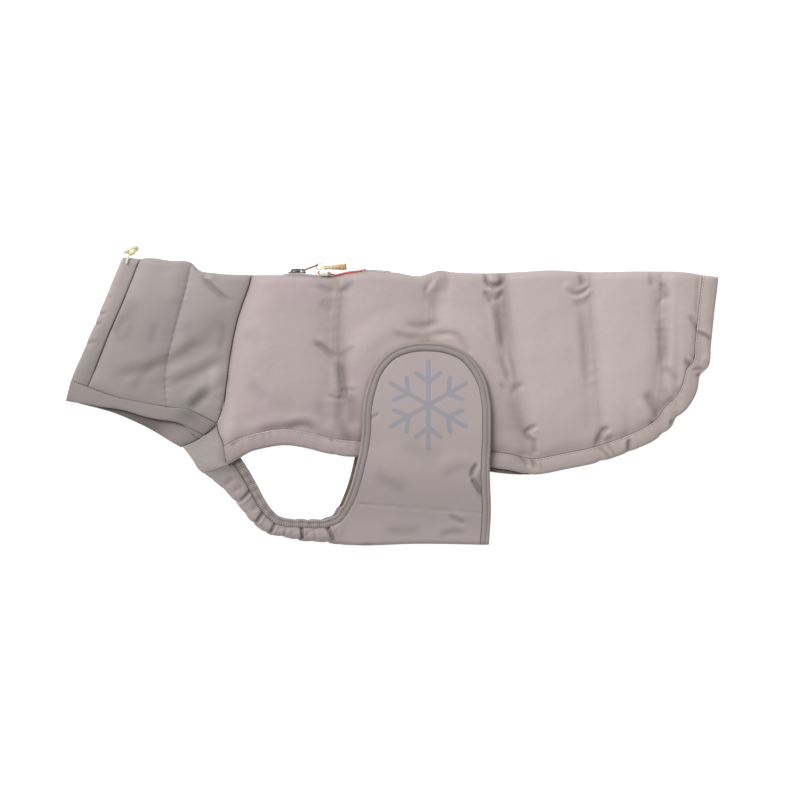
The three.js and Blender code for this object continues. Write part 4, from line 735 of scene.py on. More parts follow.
class Number:
    """A value in a shader graph that can be written in a formula."""

    def __init__(self, graph: "Graph", socket: bpy.types.NodeSocket) -> None:
        """Wraps an output socket."""
        self.graph = graph
        self.socket = socket

    def _with(self, operation: str, *values: "Number | float", clamp: bool = False) -> "Number":
        """Adds one Math node."""
        settings = {"operation": operation, "use_clamp": clamp}
        return self.graph.number("ShaderNodeMath", settings, dict(enumerate(values)))

    def __add__(self, other: "Number | float") -> "Number":
        """Sum."""
        return self._with("ADD", self, other)

    __radd__ = __add__

    def __sub__(self, other: "Number | float") -> "Number":
        """Difference."""
        return self._with("SUBTRACT", self, other)

    def __rsub__(self, other: "Number | float") -> "Number":
        """Difference the other way round."""
        return self._with("SUBTRACT", other, self)

    def __mul__(self, other: "Number | float") -> "Number":
        """Product."""
        return self._with("MULTIPLY", self, other)

    __rmul__ = __mul__

    def __truediv__(self, other: "Number | float") -> "Number":
        """Quotient."""
        return self._with("DIVIDE", self, other)

    def __pow__(self, other: float) -> "Number":
        """Power."""
        return self._with("POWER", self, other)

    def __abs__(self) -> "Number":
        """Size without sign."""
        return self._with("ABSOLUTE", self)

    def __mod__(self, other: float) -> "Number":
        """Remainder that is never negative."""
        return self._with("FLOORED_MODULO", self, other)

    def sine(self) -> "Number":
        """Sine of an angle in radians."""
        return self._with("SINE", self)

    def cosine(self) -> "Number":
        """Cosine of an angle in radians."""
        return self._with("COSINE", self)

    def root(self) -> "Number":
        """Square root."""
        return self._with("SQRT", self)

    def low(self, other: "Number | float") -> "Number":
        """The smaller of two."""
        return self._with("MINIMUM", self, other)

    def high(self, other: "Number | float") -> "Number":
        """The larger of two."""
        return self._with("MAXIMUM", self, other)

    def turned_from(self, x: "Number") -> "Number":
        """The angle whose rise is this and whose run is x."""
        return self._with("ARCTAN2", self, x)

    def step(self, start: float, end: float) -> "Number":
        """An S-curve from 0 at start to 1 at end; start may be the larger."""
        settings = {"interpolation_type": "SMOOTHSTEP"}
        turned = start > end
        values = {0: self, 1: min(start, end), 2: max(start, end), 3: float(turned), 4: float(not turned)}
        return self.graph.number("ShaderNodeMapRange", settings, values)


class Graph:
    """One material's node graph."""

    def __init__(self, name: str) -> None:
        """Starts an empty material."""
        self.material = bpy.data.materials.new(name)
        self.material.use_nodes = True
        self.material.node_tree.nodes.clear()

    def node(self, kind: str, settings: dict | None = None, values: dict | None = None) -> bpy.types.Node:
        """Adds a node: its settings first, then its sockets' values or links."""
        made = self.material.node_tree.nodes.new(kind)
        for key, value in (settings or {}).items():
            if key == "stops":
                ramp = made.color_ramp
                while len(ramp.elements) < len(value):
                    ramp.elements.new(0.5)
                for element, (place, colour) in zip(ramp.elements, value):
                    element.position, element.color = place, (*colour, 1)
            else:
                setattr(made, key, value)
        for key, value in (values or {}).items():
            if isinstance(value, Number):
                self.material.node_tree.links.new(value.socket, made.inputs[key])
            elif isinstance(value, bpy.types.NodeSocket):
                self.material.node_tree.links.new(value, made.inputs[key])
            else:
                made.inputs[key].default_value = value
        return made

    def number(self, kind: str, settings: dict | None = None, values: dict | None = None) -> Number:
        """Adds a node and reads its first output as a number."""
        return Number(self, self.node(kind, settings, values).outputs[0])

    def mark(self, name: str) -> Number:
        """A point attribute of the piece."""
        return Number(self, self.node("ShaderNodeAttribute", {"attribute_name": name}).outputs["Fac"])

    def place(self) -> tuple[Number, Number, Number]:
        """Object coordinates in millimetres."""
        place = self.node("ShaderNodeTexCoord").outputs["Object"]
        parts = self.node("ShaderNodeSeparateXYZ", values={0: place}).outputs
        x, y, z = (Number(self, part) * 1000.0 for part in parts)
        return x, y, z

    def noise(self, scale: float, detail: float = 2.0, stretch: tuple[float, float, float] = (1, 1, 1)) -> Number:
        """Noise from 0 to 1 on Object coordinates, with a scale in features per metre."""
        place = self.node("ShaderNodeTexCoord").outputs["Object"]
        moved = self.node("ShaderNodeMapping", values={"Vector": place, "Scale": stretch}).outputs[0]
        values = {"Vector": moved, "Scale": scale, "Detail": detail}
        return self.number("ShaderNodeTexNoise", {"noise_dimensions": "3D"}, values)

    def mix(self, share: Number | float, first: object, second: object) -> bpy.types.NodeSocket:
        """A blend of two colours, each an RGB tuple or a socket."""
        settings = {"data_type": "RGBA", "clamp_factor": True}
        full = [(*colour, 1) if isinstance(colour, tuple) else colour for colour in (first, second)]
        return self.node("ShaderNodeMix", settings, {0: share, 6: full[0], 7: full[1]}).outputs[2]

    def bump(self, height: Number, distance: float, strength: float = 1.0) -> bpy.types.NodeSocket:
        """A Bump node that reads a height from 0 to 1, over a distance in metres."""
        return self.node("ShaderNodeBump", values={"Height": height, "Distance": distance, "Strength": strength}).outputs[0]

    def surface(self, constants: dict[str, object], **varying: object) -> bpy.types.Material:
        """Ends the graph in a Principled shader.

        Args:
            constants: values set on its own sockets.
            varying: links for base_color, roughness, metallic or normal.

        Returns:
            The material.
        """
        links = {key.replace("_", " ").title(): value for key, value in varying.items()}
        shader = self.node("ShaderNodeBsdfPrincipled", values={**constants, **links})
        self.node("ShaderNodeOutputMaterial", values={"Surface": shader.outputs[0]})
        return self.material


Colour = tuple[float, float, float]


def from_screen(red: int, green: int, blue: int) -> Colour:
    """A screen colour of 0 to 255 as a linear one."""
    parts = [value / 255 for value in (red, green, blue)]
    linear = [part / 12.92 if part <= 0.04045 else ((part + 0.055) / 1.055) ** 2.4 for part in parts]
    return (linear[0], linear[1], linear[2])


def scaled(colour: Colour, factor: float) -> Colour:
    """A colour made darker or lighter."""
    return (colour[0] * factor, colour[1] * factor, colour[2] * factor)


class Weave(Enum):
    """How a cloth's face is made."""

    PLAIN = 0.5
    SMOOTH = 0.3


@dataclass(frozen=True)
class WovenCloth:
    """Woven face cloth with a faint sheen: two close shades, a fine weave and small crumples.

    Attributes:
        name: the material's name.
        colour: the lighter shade.
        other: the shade that drifts through it.
        roughness: the shader's roughness.
        sheen: weight of the sheen.
        weave: the face, whose value is the thread spacing in millimetres.
        crumple: depth of the small crumples in metres.
        seam_mark: the piece's attribute that holds the distance to a stitched quilt line, if it has one.
        print_colour: colour of the motif printed on it, if it has one.
        rear: the lighter colour it drifts to towards the tail, painted light, if it does.
    """

    name: str
    colour: Colour
    other: Colour
    roughness: float = 0.6
    sheen: float = 0.25
    weave: Weave = Weave.PLAIN
    crumple: float = 0.0004
    seam_mark: str | None = None
    print_colour: Colour | None = None
    rear: Colour | None = None

    def material(self) -> bpy.types.Material:
        """Builds the graph; where the mark of painted fold shade is 1, deep in a fold, the colour is painted darkest.
        """
        g = Graph(self.name)
        x, y, z = g.place()
        drift = g.noise(14, 3)
        fine = g.noise(260, 2)
        colour = g.mix(drift.step(0.35, 0.65), self.colour, self.other)
        # Painted light: the cloth grows lighter towards the tail.
        if self.rear:
            colour = g.mix(x.step(-60, 220), colour, self.rear)
        colour = g.mix(fine.step(0.3, 0.8) * 0.08, colour, scaled(self.colour, 0.8))
        pitch = 2 * math.pi / self.weave.value
        threads = ((x * pitch).sine() * (y * pitch).sine()) * 0.5 + 0.5
        crumples = g.noise(120, 3) * 0.7 + g.noise(420, 1) * 0.3
        roughness = self.roughness + (fine - 0.5) * 0.12
        normal_height = crumples
        if self.seam_mark:
            seam = g.mark(self.seam_mark)
            dash = ((g.mark("along") * (2 * math.pi / 3.0)).sine() * 4.0).step(-1, 1)
            line = seam.step(0.95, 0.25)
            colour = g.mix(line * (0.1 + dash * 0.12), colour, scaled(self.other, 0.45))
            normal_height = crumples - line * 0.9
        if self.print_colour:
            film = SnowflakePrint().film(g, x, y, z)
            colour = g.mix(film * 0.86, colour, self.print_colour)
            roughness = roughness - film * 0.18
        # Painted shade: the fold mark darkens the colour up to half-way to a near-black brown.
        colour = g.mix(g.mark("hollow") * 0.5, colour, (0.03, 0.022, 0.021))
        weave = g.bump(threads, 0.00003, 0.5)
        bump = g.node(
            "ShaderNodeBump", values={"Height": normal_height, "Distance": self.crumple, "Strength": 0.55, "Normal": weave}
        ).outputs[0]
        constants = {"Sheen Weight": self.sheen, "Sheen Roughness": 0.45, "Specular IOR Level": 0.35}
        return g.surface(constants, base_color=colour, roughness=roughness, normal=bump)


@dataclass(frozen=True)
class SnowflakePrint:
    """A plain six-armed snowflake in thin lines, printed on the flap."""

    centre: tuple[float, float] = (30.8, -8.2)
    radius: float = 37.0
    line: float = 3.7
    lowest: float = 12.0

    def film(self, g: Graph, x: Number, y: Number, z: Number) -> Number:
        """The printed film's mask.

        The angle is folded into one twelfth of a turn, so one arm and one side of its branches stand for all. The
        film covers every point nearer than half a line to the arm or to a branch.

        Args:
            g: the graph.
            x: Object x in millimetres.
            y: Object y in millimetres.
            z: Object z, which keeps the film off the lower layer.
        """
        dx, dy = x - self.centre[0], y - self.centre[1]
        away = (dx * dx + dy * dy).root()
        sector = math.pi / 3
        folded = abs((dy.turned_from(dx) + sector / 2 + math.pi / 6) % sector - sector / 2)
        u, v = away * folded.cosine(), away * folded.sine()
        nearest = self._to_branch(u, v, 0.0, self.radius, 0.0)
        for start, length in ((0.52, 0.36),):
            branch = self._to_branch(u, v, start * self.radius, length * self.radius, math.radians(52))
            nearest = nearest.low(branch)
        edge = self.line / 2 + 0.12
        return nearest.step(edge + 0.12, edge - 0.12) * z.step(self.lowest - 1, self.lowest)

    def _to_branch(self, u: Number, v: Number, start: float, length: float, angle: float) -> Number:
        """Distance to a straight branch that leaves the arm at start: the clamped dot product gives its foot."""
        along = (u - start) * math.cos(angle) + v * math.sin(angle)
        along = along.high(0.0).low(length)
        du, dv = u - start - along * math.cos(angle), v - along * math.sin(angle)
        return (du * du + dv * dv).root()


@dataclass(frozen=True)
class KnitCloth:
    """Ribbed knit: fine ribs across the piece with rows of small loops, darker between them."""

    name: str
    colour: Colour
    rib: float = 1.5
    loop: float = 1.1
    depth: float = 0.0005

    def material(self) -> bpy.types.Material:
        """Builds the graph.

        It reads the marks "along" and "across" in millimetres, "inner", which is 1 where its netted inside shows, and a
        mark of painted shade.
        """
        g = Graph(self.name)
        along, across = g.mark("along"), g.mark("across")
        ribs = (along * (2 * math.pi / self.rib)).sine() * 0.5 + 0.5
        loops = (across * (2 * math.pi / self.loop) + ribs * 1.6).sine() * 0.5 + 0.5
        height = ribs * 0.65 + loops * 0.35
        drift = g.noise(30, 3)
        colour = g.mix(height.step(0.1, 0.7), scaled(self.colour, 0.84), self.colour)
        colour = g.mix(drift.step(0.4, 0.7) * 0.35, colour, scaled(self.colour, 0.9))
        net = ((along * (math.pi / 1.3)).sine() * (across * (math.pi / 1.3)).sine()) ** 2.0
        inner = g.mark("inner")
        netting = g.mix(net.step(0.2, 0.7), scaled(self.colour, 0.42), scaled(self.colour, 0.85))
        colour = g.mix(inner, colour, netting)
        # Painted shade: by the seams and in folds, up to half-way to a near-black brown.
        colour = g.mix(g.mark("hollow") * 0.5, colour, (0.03, 0.022, 0.021))
        bump = g.bump(height * (1.0 - inner) + net * inner, self.depth, 0.6)
        constants = {"Roughness": 0.92, "Sheen Weight": 0.3, "Sheen Roughness": 0.5, "Specular IOR Level": 0.2}
        return g.surface(constants, base_color=colour, normal=bump)


@dataclass(frozen=True)
class BindingCloth:
    """Elastic binding: fine crosswise ribs and a shallow stitched groove."""

    name: str
    colour: Colour
    rib: float = 0.9
    ruck: float = 1.6

    def material(self) -> bpy.types.Material:
        """Builds the graph.

        It reads the marks "along" in millimetres, "across" from the seam to the edge, "gathered", which is 1 where
        the elastic rucks the tape up, and a mark of painted shade.
        """
        g = Graph(self.name)
        along, across, gathered = g.mark("along"), g.mark("across"), g.mark("gathered")
        ribs = (along * (2 * math.pi / self.rib)).sine() * 0.5 + 0.5
        drift = g.noise(90, 2)
        rucks = ((along * (2 * math.pi / self.ruck) + drift * 9.0).sine() * 0.5 + 0.5) * gathered
        groove = abs(across - 0.6).step(0.16, 0.04)
        # Ribs and the stitched groove are drawn darker; the rucks' troughs are painted shade.
        dark = ribs * 0.1 + groove * 0.2 + rucks * drift.step(0.3, 0.6) * 0.3
        colour = g.mix(dark, self.colour, scaled(self.colour, 0.55))
        colour = g.mix(g.noise(40, 3).step(0.35, 0.7) * 0.2, colour, scaled(self.colour, 0.86))
        # Painted shade: by the seam and where the binding starts, up to half-way to a near-black brown.
        colour = g.mix(g.mark("hollow") * 0.5, colour, (0.03, 0.022, 0.021))
        bump = g.bump(ribs * 0.15 + g.noise(300, 2) * 0.25 - rucks * 0.6, 0.0007, 0.7)
        constants = {"Roughness": 0.72, "Sheen Weight": 0.25, "Sheen Roughness": 0.5, "Specular IOR Level": 0.3}
        return g.surface(constants, base_color=colour, normal=bump)


@dataclass(frozen=True)
class Pile:
    """Short brushed pile of a lining."""

    name: str
    colour: Colour

    def material(self) -> bpy.types.Material:
        """Builds the graph: tufts of noise, lighter at their tips."""
        g = Graph(self.name)
        tufts = g.noise(900, 3) * 0.6 + g.noise(300, 2) * 0.4
        colour = g.mix(tufts.step(0.3, 0.7), scaled(self.colour, 0.6), scaled(self.colour, 1.25))
        constants = {"Roughness": 0.95, "Sheen Weight": 0.5, "Sheen Roughness": 0.6, "Specular IOR Level": 0.1}
        return g.surface(constants, base_color=colour, normal=g.bump(tufts, 0.0008, 0.9))


@dataclass(frozen=True)
class Metal:
    """Aged nickel: small scratches, and darker in its pits."""

    name: str
    colour: Colour

    def material(self) -> bpy.types.Material:
        """Builds the graph."""
        g = Graph(self.name)
        worn = g.noise(500, 4)
        scratches = g.noise(1200, 2, (1, 6, 1))
        colour = g.mix(worn.step(0.35, 0.65), scaled(self.colour, 0.55), self.colour)
        roughness = 0.28 + worn * 0.3
        constants = {"Metallic": 0.9, "Specular IOR Level": 0.5}
        return g.surface(constants, base_color=colour, roughness=roughness, normal=g.bump(scratches, 0.00005, 0.5))


@dataclass(frozen=True)
class Yarn:
    """Twisted or braided yarn whose colour may change along it.

    Attributes:
        name: the material's name.
        root: colour at the start.
        tip: colour at the end.
        twist: turns of the lay for each millimetre.
        fade: where the change starts and ends, in millimetres along.
    """

    name: str
    root: Colour
    tip: Colour
    twist: float = 0.5
    fade: tuple[float, float] = (2.0, 16.0)

    def material(self) -> bpy.types.Material:
        """Builds the graph from the marks "along" and "around"."""
        g = Graph(self.name)
        along, around = g.mark("along"), g.mark("around")
        lay = ((along * self.twist + around * 2.0) * (2 * math.pi)).sine() * 0.5 + 0.5
        colour = g.mix(along.step(*self.fade), self.root, self.tip)
        colour = g.mix(lay * 0.25, colour, scaled(self.tip, 0.75))
        colour = g.mix(g.noise(500, 2).step(0.4, 0.7) * 0.2, colour, scaled(self.root, 0.8))
        constants = {"Roughness": 0.85, "Sheen Weight": 0.3, "Sheen Roughness": 0.5, "Specular IOR Level": 0.2}
        return g.surface(constants, base_color=colour, normal=g.bump(lay, 0.0003, 0.6))


@dataclass(frozen=True)
class MilkyPlastic:
    """The bead: milky plastic with a darker, toned end."""

    name: str
    colour: Colour
    end_colour: Colour

    def material(self) -> bpy.types.Material:
        """Builds the graph from the mark "along"."""
        g = Graph(self.name)
        clouds = g.noise(350, 3)
        colour = g.mix(g.mark("along").step(5.6, 7.4), self.colour, self.end_colour)
        colour = g.mix(clouds.step(0.4, 0.7) * 0.25, colour, scaled(self.colour, 0.8))
        constants = {"Coat Weight": 0.5, "Coat Roughness": 0.12, "Specular IOR Level": 0.5}
        return g.surface(constants, base_color=colour, roughness=0.22 + clouds * 0.16)


class Finishes:
    """Every finish on the coat, each made once."""

    def __init__(self) -> None:
        """Builds the materials."""
        # The shell and hem drift to lighter rear colours towards the tail: painted light.
        shell, shell_other, rear = from_screen(183, 166, 168), from_screen(182, 168, 165), from_screen(196, 182, 177)
        self.shell = WovenCloth("shell_face", shell, shell_other, 0.56, 0.12, Weave.PLAIN, 0.0005, rear=rear).material()
        self.hem = WovenCloth("hem_face", scaled(shell, 0.93), scaled(shell_other, 0.93), 0.58, 0.12, rear=scaled(rear, 0.88)).material()
        soft, soft_other = from_screen(174, 162, 161), from_screen(173, 162, 159)
        print_cloth, print_other = from_screen(181, 167, 168), from_screen(179, 167, 165)
        self.collar = WovenCloth("softshell_face", soft, soft_other, 0.55, 0.1, Weave.SMOOTH, 0.0003, "seam").material()
        self.flap = WovenCloth(
            "flap_face", print_cloth, print_other, 0.6, 0.1, Weave.SMOOTH, 0.0003, None, from_screen(155, 155, 162)
        ).material()
        self.knit = KnitCloth("throat_knit", from_screen(162, 151, 150)).material()
        self.gusset_knit = KnitCloth("gusset_knit", from_screen(180, 170, 166), 1.3, 1.0, 0.0004).material()
        self.binding = BindingCloth("elastic_binding", from_screen(160, 149, 146)).material()
        self.lining = Pile("lining_pile", from_screen(118, 96, 88)).material()
        self.metal = Metal("aged_nickel", from_screen(150, 143, 134)).material()
        self.teeth = Metal("zip_teeth", from_screen(140, 130, 126)).material()
        cream = from_screen(247, 238, 206)
        self.cream = Yarn("cream_cord", cream, cream, 0.5).material()
        self.tassel = Yarn("tassel_yarn", from_screen(255, 243, 200), from_screen(255, 216, 158), 0.35).material()
        self.red = Yarn("red_cord", from_screen(236, 104, 72), from_screen(226, 92, 80), 0.6).material()
        self.bead = MilkyPlastic("bead_plastic", from_screen(228, 226, 222), from_screen(150, 128, 116)).material()
        self.thread = Yarn("sewing_thread", from_screen(150, 138, 136), from_screen(150, 138, 136), 1.2).material()


# Sub-assemblies


@dataclass
class Studio:
    """Plain pale floor, soft light from the upper left and a camera straight above the coat."""

    view_centre: tuple[float, float] = (0.0066, -0.0039)
    view_width: float = 0.6852
    camera_height: float = 3.2
    view_level: float = 0.007
    floor_size: float = 9.0
    key_power: float = 94.0
    fill_power: float = 10.0
    sky: float = 0.36
    floor_glow: float = 0.85

    def build(self) -> None:
        """Makes all of it."""
        self._camera()
        self._light("key_light", (-1.8, 1.7, 2.35), 1.7, self.key_power)
        self._light("fill_light", (1.9, 0.3, 1.9), 1.6, self.fill_power)
        self._floor()
        self._world()

    def _camera(self) -> None:
        """A long lens whose view spans the photograph's width at the coat's middle level."""
        data = bpy.data.cameras.new("camera")
        data.sensor_width = 36.0
        data.lens = data.sensor_width * (self.camera_height - self.view_level) / self.view_width
        data.clip_end = 50.0
        camera = bpy.data.objects.new("camera", data)
        camera.location = (*self.view_centre, self.camera_height)
        bpy.context.scene.collection.objects.link(camera)
        bpy.context.scene.camera = camera

    def _light(self, name: str, place: tuple[float, float, float], size: float, power: float) -> None:
        """A square soft box that faces the coat."""
        data = bpy.data.lights.new(name, "AREA")
        data.shape, data.size, data.energy = "SQUARE", size, power
        light = bpy.data.objects.new(name, data)
        light.location = place
        light.rotation_euler = (-Vector(place)).to_track_quat("-Z", "Y").to_euler()
        bpy.context.scene.collection.objects.link(light)

    def _floor(self) -> None:
        """A pale floor just below the coat."""
        half = self.floor_size / 2
        corners = np.array([[-half, -half], [half, -half], [half, half], [-half, half]])
        mesh = bpy.data.meshes.new("floor")
        mesh.from_pydata([(*corner, -0.0003) for corner in corners.tolist()], [], [(0, 1, 2, 3)])
        floor = bpy.data.objects.new("floor", mesh)
        bpy.context.scene.collection.objects.link(floor)
        g = Graph("pale_floor")
        tone = g.noise(0.6, 2)
        colour = g.mix(tone, (0.39, 0.39, 0.39), (0.42, 0.42, 0.42))
        glow = {"Emission Color": (1, 1, 1, 1), "Emission Strength": self.floor_glow}
        mesh.materials.append(g.surface({"Roughness": 0.9, "Specular IOR Level": 0.1, **glow}, base_color=colour))

    def _world(self) -> None:
        """An even white sky."""
        world = bpy.data.worlds.new("sky")
        world.use_nodes = True
        background = world.node_tree.nodes["Background"]
        background.inputs["Color"].default_value = (1, 1, 1, 1)
        background.inputs["Strength"].default_value = self.sky
        bpy.context.scene.world = world
        bpy.context.scene.view_settings.view_transform = "Standard"


@dataclass
class Shell:
    """The quilted back panel, its turned hem and the strip of lining that shows."""

    cut: Outlines
    finishes: Finishes
    puff: float = 5.0
    fold: float = 7.0
    layer_gap: float = 1.9
    hem_fold: float = 4.6
    columns: int = 312
    rows: int = 112
    ribs: tuple[tuple[float, ...], ...] = (
        (0, -21.3, 0), (33, 28.5, 0.42), (75.6, 76.5, 1), (155.5, 157, 2), (210, 235.5, 3), (285, 303, 4),
        (351.5, 360, 5), (369, 381, 5.6), (386.5, 391.3, 6),
    )  # fmt: skip
    hem_puckers: tuple[tuple[float, float, float], ...] = (
        (-8, 0.8, 5), (72, 1, 5), (236, 2, 6), (299, 1.8, 6), (322, 1.2, 4), (352, 2.2, 6), (364, 1.8, 4),
        (385, 2, 4),
    )  # fmt: skip

    def __post_init__(self) -> None:
        """Draws the panel's plan."""
        cut = self.cut
        self.spine_end = self.ribs[-1][0]
        self.tail_corner = float(cut.hem.share_at_x(391.3))

        def top(s: Array) -> Array:
            """The spine, with a small notch where each quilt line crosses it."""
            x = s * self.spine_end
            return np.stack([x, -lookup(cut.spine_rows, 1, x)], axis=-1)

        def seam(share: Array) -> Array:
            """The hem seam, less the sewing gap."""
            return cut.hem_seam(share, cut.hem_width + cut.seam_gap)

        def left(t: Array) -> Array:
            """The neck seam and then the gusset seam."""
            whole = cut.neck.length + cut.gusset_seam.length
            along = t * whole
            after = (along - cut.neck.length) / cut.gusset_seam.length
            on_neck = (along <= cut.neck.length)[..., None]
            return np.where(on_neck, cut.neck.at(np.minimum(1, along / cut.neck.length)), cut.gusset_seam.at(np.clip(after, 0, 1)))

        self.plan = patch(
            top, lambda s: seam(self.hem_share(s)), left, lambda t: seam(1 + (self.tail_corner - 1) * t)
        )

    def hem_share(self, s: Array) -> Array:
        """Where a rib that starts at s on the spine lands on the hem."""
        return self.cut.hem.share_at_x(lookup(self.ribs, 1, s * self.spine_end))

    def channel(self, s: Array) -> Array:
        """The quilting channel at s, whole numbers being the stitched lines."""
        return lookup(self.ribs, 2, s * self.spine_end)

    def hem_rise(self, x: Array) -> Array:
        """The upper hem rides up a little just behind the flap, so that the lining of the lower one shows."""
        return 3.8 * ease(150, 190, x) * (1 - ease(216, 243, x))

    def pucker(self, x: Array, from_seam: Array) -> Array:
        """Valleys that the hem's elastic draws into the cloth."""
        total = sum(depth * bell(x - place, width) for place, depth, width in self.hem_puckers)
        return total * np.exp(-from_seam / 14)

    def base_levels(self, points: Array, s: Array) -> tuple[Levels, Array, Array]:
        """Heights without creases.

        The padding swells as 1 - |2 f - 1|^2.6 over each channel's share f and falls to the stitched lines.

        Returns:
            The levels, the distance from the hem seam and the dome's height.
        """
        cut = self.cut
        from_seam = np.maximum(0, cut.depth_in_shell(points) - cut.hem_width)
        channel = self.channel(s)
        swell = 1 - np.abs(2 * (channel - np.floor(channel)) - 1) ** 2.6
        lower_under = cut.lift(points)
        lower_top = lower_under + cut.shell_wall
        full = cut.dome(points)
        valley = (0.7 + self.puff * ease(0, 26, from_seam)) * (1 - swell)
        room = full - lower_top - self.layer_gap - 2.4
        top = full - np.minimum(valley + self.pucker(points[..., 0], from_seam), room)
        under = np.maximum(lower_top + self.layer_gap, full - self.puff - cut.shell_wall)
        return Levels(top, under, lower_top, lower_under), from_seam, full

    def seam_distance(self, s: Array, t: Array) -> Array:
        """Distance to the right of the nearest stitched line: its share of a channel times the channel's width."""
        channel = self.channel(s)
        step = 1e-3
        ahead, behind = np.minimum(s + step, 1), np.maximum(s - step, 0)
        run = np.linalg.norm(self.plan(ahead, t) - self.plan(behind, t), axis=-1)
        rate = (self.channel(ahead) - self.channel(behind)) / np.maximum(run, 1e-6)
        inner = np.clip(np.round(channel), 1, 5)
        return (channel - inner) / np.maximum(rate, 1e-6)

    def hollow(self, points: Array, s: Array, t: Array) -> Array:
        """Painted shade from 0 to 1: right of the quilt lines, towards the lower rear, at the spine's edge, at the neck
        end, in the creases and beside the flap.
        """
        x, drop = points[..., 0], -points[..., 1]
        shade = self.seam_shade(points, s) * bell(self.seam_distance(s, t) - 4.5, 6) + 0.16 * ease(100, 150, drop) * ease(30, 65, x)
        shade += 0.35 * np.exp((lookup(self.cut.spine_rows, 1, x) - drop) * 0.45) + 0.5 * np.exp(-s * 260)
        return np.clip(shade + 0.55 * folds(SHELL_CREASES, points) + self.flap_shadow(points), 0, 1)

    def seam_shade(self, points: Array, s: Array) -> Array:
        """The nearest quilt line's shade at this drop."""
        line = np.clip(np.round(self.channel(s)), 1, 5)
        return sum((line == k) * lookup(SEAM_SHADES, k, -points[..., 1]) for k in range(1, 6))

    def flap_shadow(self, points: Array) -> Array:
        """The shell is darker beside the flap, more so on the side away from the light."""
        away, x, drop = self.cut.outside_flap(points), points[..., 0], -points[..., 1]
        lee = ease(120, 200, x)
        near = (0.6 + 0.45 * lee * ease(90, 140, drop)) * np.exp(-away / (3 + 3.5 * lee)) * ease(58, 110, drop)
        return near + 0.16 * bell(away - 20, 12) * (1 - ease(130, 190, x))

    def levels(self, points: Array, s: Array, t: Array, is_lower: bool) -> Levels:
        """Heights with creases, ruching beside the stitched lines, and edges that turn down into the seams."""
        base, from_seam, full = self.base_levels(points, s)
        if is_lower:
            return base
        cut = self.cut
        seam = self.seam_distance(s, t)
        drop = -points[..., 1]
        ruche = np.sin(drop * (2 * math.pi / 9) + 3 * mottle(points, 23, 5)) * bell(seam, 6) * 0.2
        ruche *= 0.3 + 0.7 * ease(0, 0.6, mottle(points, 31, 6))
        along_seam = 1 + 0.25 * mottle(points * [0.2, 1], 22, 7)
        ruche += along_seam * (1.35 * bell(seam, 3.1) - 0.6 * bell(seam - 6.5, 3.8)) * ease(3, 22, from_seam)
        ruche -= 1.3 * self.seam_shade(points, s) * bell(seam - 4, 5)
        drift = 0.42 * mottle(points, 26, 1) + 0.2 * mottle(points, 12, 2) + 0.05 * mottle(points, 5, 3)
        creases = pressed(SHELL_CREASES, points)
        open_air = ease(1.5, 9, cut.outside_flap(points))
        relief = np.where(creases > 0, creases * open_air, creases) + (drift + ruche) * (0.25 + 0.75 * open_air)
        by_zip = bell(np.maximum(0, np.abs(points[..., 0] - 72) - 42), 9) * (1 - ease(7, 18, drop))
        relief = relief * (1 - by_zip)
        wide = self.spine_end
        reach = np.linalg.norm(self.plan(s, np.zeros_like(t)) - self.plan(s, np.ones_like(t)), axis=-1)
        to_edge = np.minimum(np.minimum(s, 1 - s) * wide, (1 - t) * reach)
        by_hem = 1 - 0.5 * bell((1 - t) * reach, 2)
        turned = rounded_edge(to_edge, 1.0) * 0.8 * by_hem + 0.5 * bell(to_edge, 4) + 0.9 * bell((1 - t) * reach, 6)
        top = base.top + relief - turned
        limit = np.where(open_air < 1, full + 0.15 + 3 * open_air, full + 4)
        top = np.minimum(top, limit)
        under = np.minimum(base.under, np.maximum(base.lower_top + 1.2, top - 1.6))
        return Levels(np.maximum(top, under + 0.9), under, base.lower_top, base.lower_under)

    def shift(self, s: Array, t: Array, is_lower: bool) -> Array:
        """The upper layer's ride-up towards the hem."""
        rise = np.zeros_like(t) if is_lower else self.hem_rise(self.plan(s, t)[..., 0]) * ease(0.6, 1, t)
        return np.stack([np.zeros_like(rise), rise], axis=-1)

    def build(self) -> None:
        """Makes the panel, the hem and the lining strip."""
        self._back_panel()
        self._hem()
        self._lining()

    def _back_panel(self) -> None:
        """The padded panel."""

        edge = (0.0035, 0.007, 0.0115, 0.017)
        sheet = FoldedSheet(
            plan=self.plan,
            columns=graded(self.columns, (0.001, 0.0025, 0.0045), True),
            upper=graded(self.rows, edge),
            lower=np.linspace(0, 1, 9),
            fold=self.fold,
            wall=self.cut.shell_wall,
            length=lambda s: np.linalg.norm(self.plan(s, np.zeros_like(s)) - self.plan(s, np.ones_like(s)), axis=-1),
            levels=self.levels,
            shift=self.shift,
            # Painted shade, carried to the material as a mark.
            marks=lambda points, s, t: {"hollow": self.hollow(points, s, t)},
        )
        panel = sheet.build().mesh("back_panel_quilted")
        finish_piece(panel, "coat", "shell_cloth", self.finishes.shell, "back_panel")

    def hem_plan(self, s: Array, t: Array) -> Array:
        """Across the hem from its seam to its edge, and back along it from the tail, notched by its elastic."""
        cut = self.cut
        place = cut.hem_seam(1 - t, cut.hem_width * (1 - s))
        notch = sum(0.5 * depth * bell(place[..., 0] - x, width * 0.5) for x, depth, width in self.hem_puckers)
        inward = cut.hem.normal(1 - t, 16)
        along = (1 - t) * cut.hem.length
        reach = 2.3 * (1 - ease(11, 25, along)) * s
        corner = (1 - ease(0, 5, along))[..., None] * s[..., None] * [-0.7, 0]
        return place + corner + inward * (notch * ease(0.5, 1, s) * ease(0, 0.04, t) - reach)[..., None]

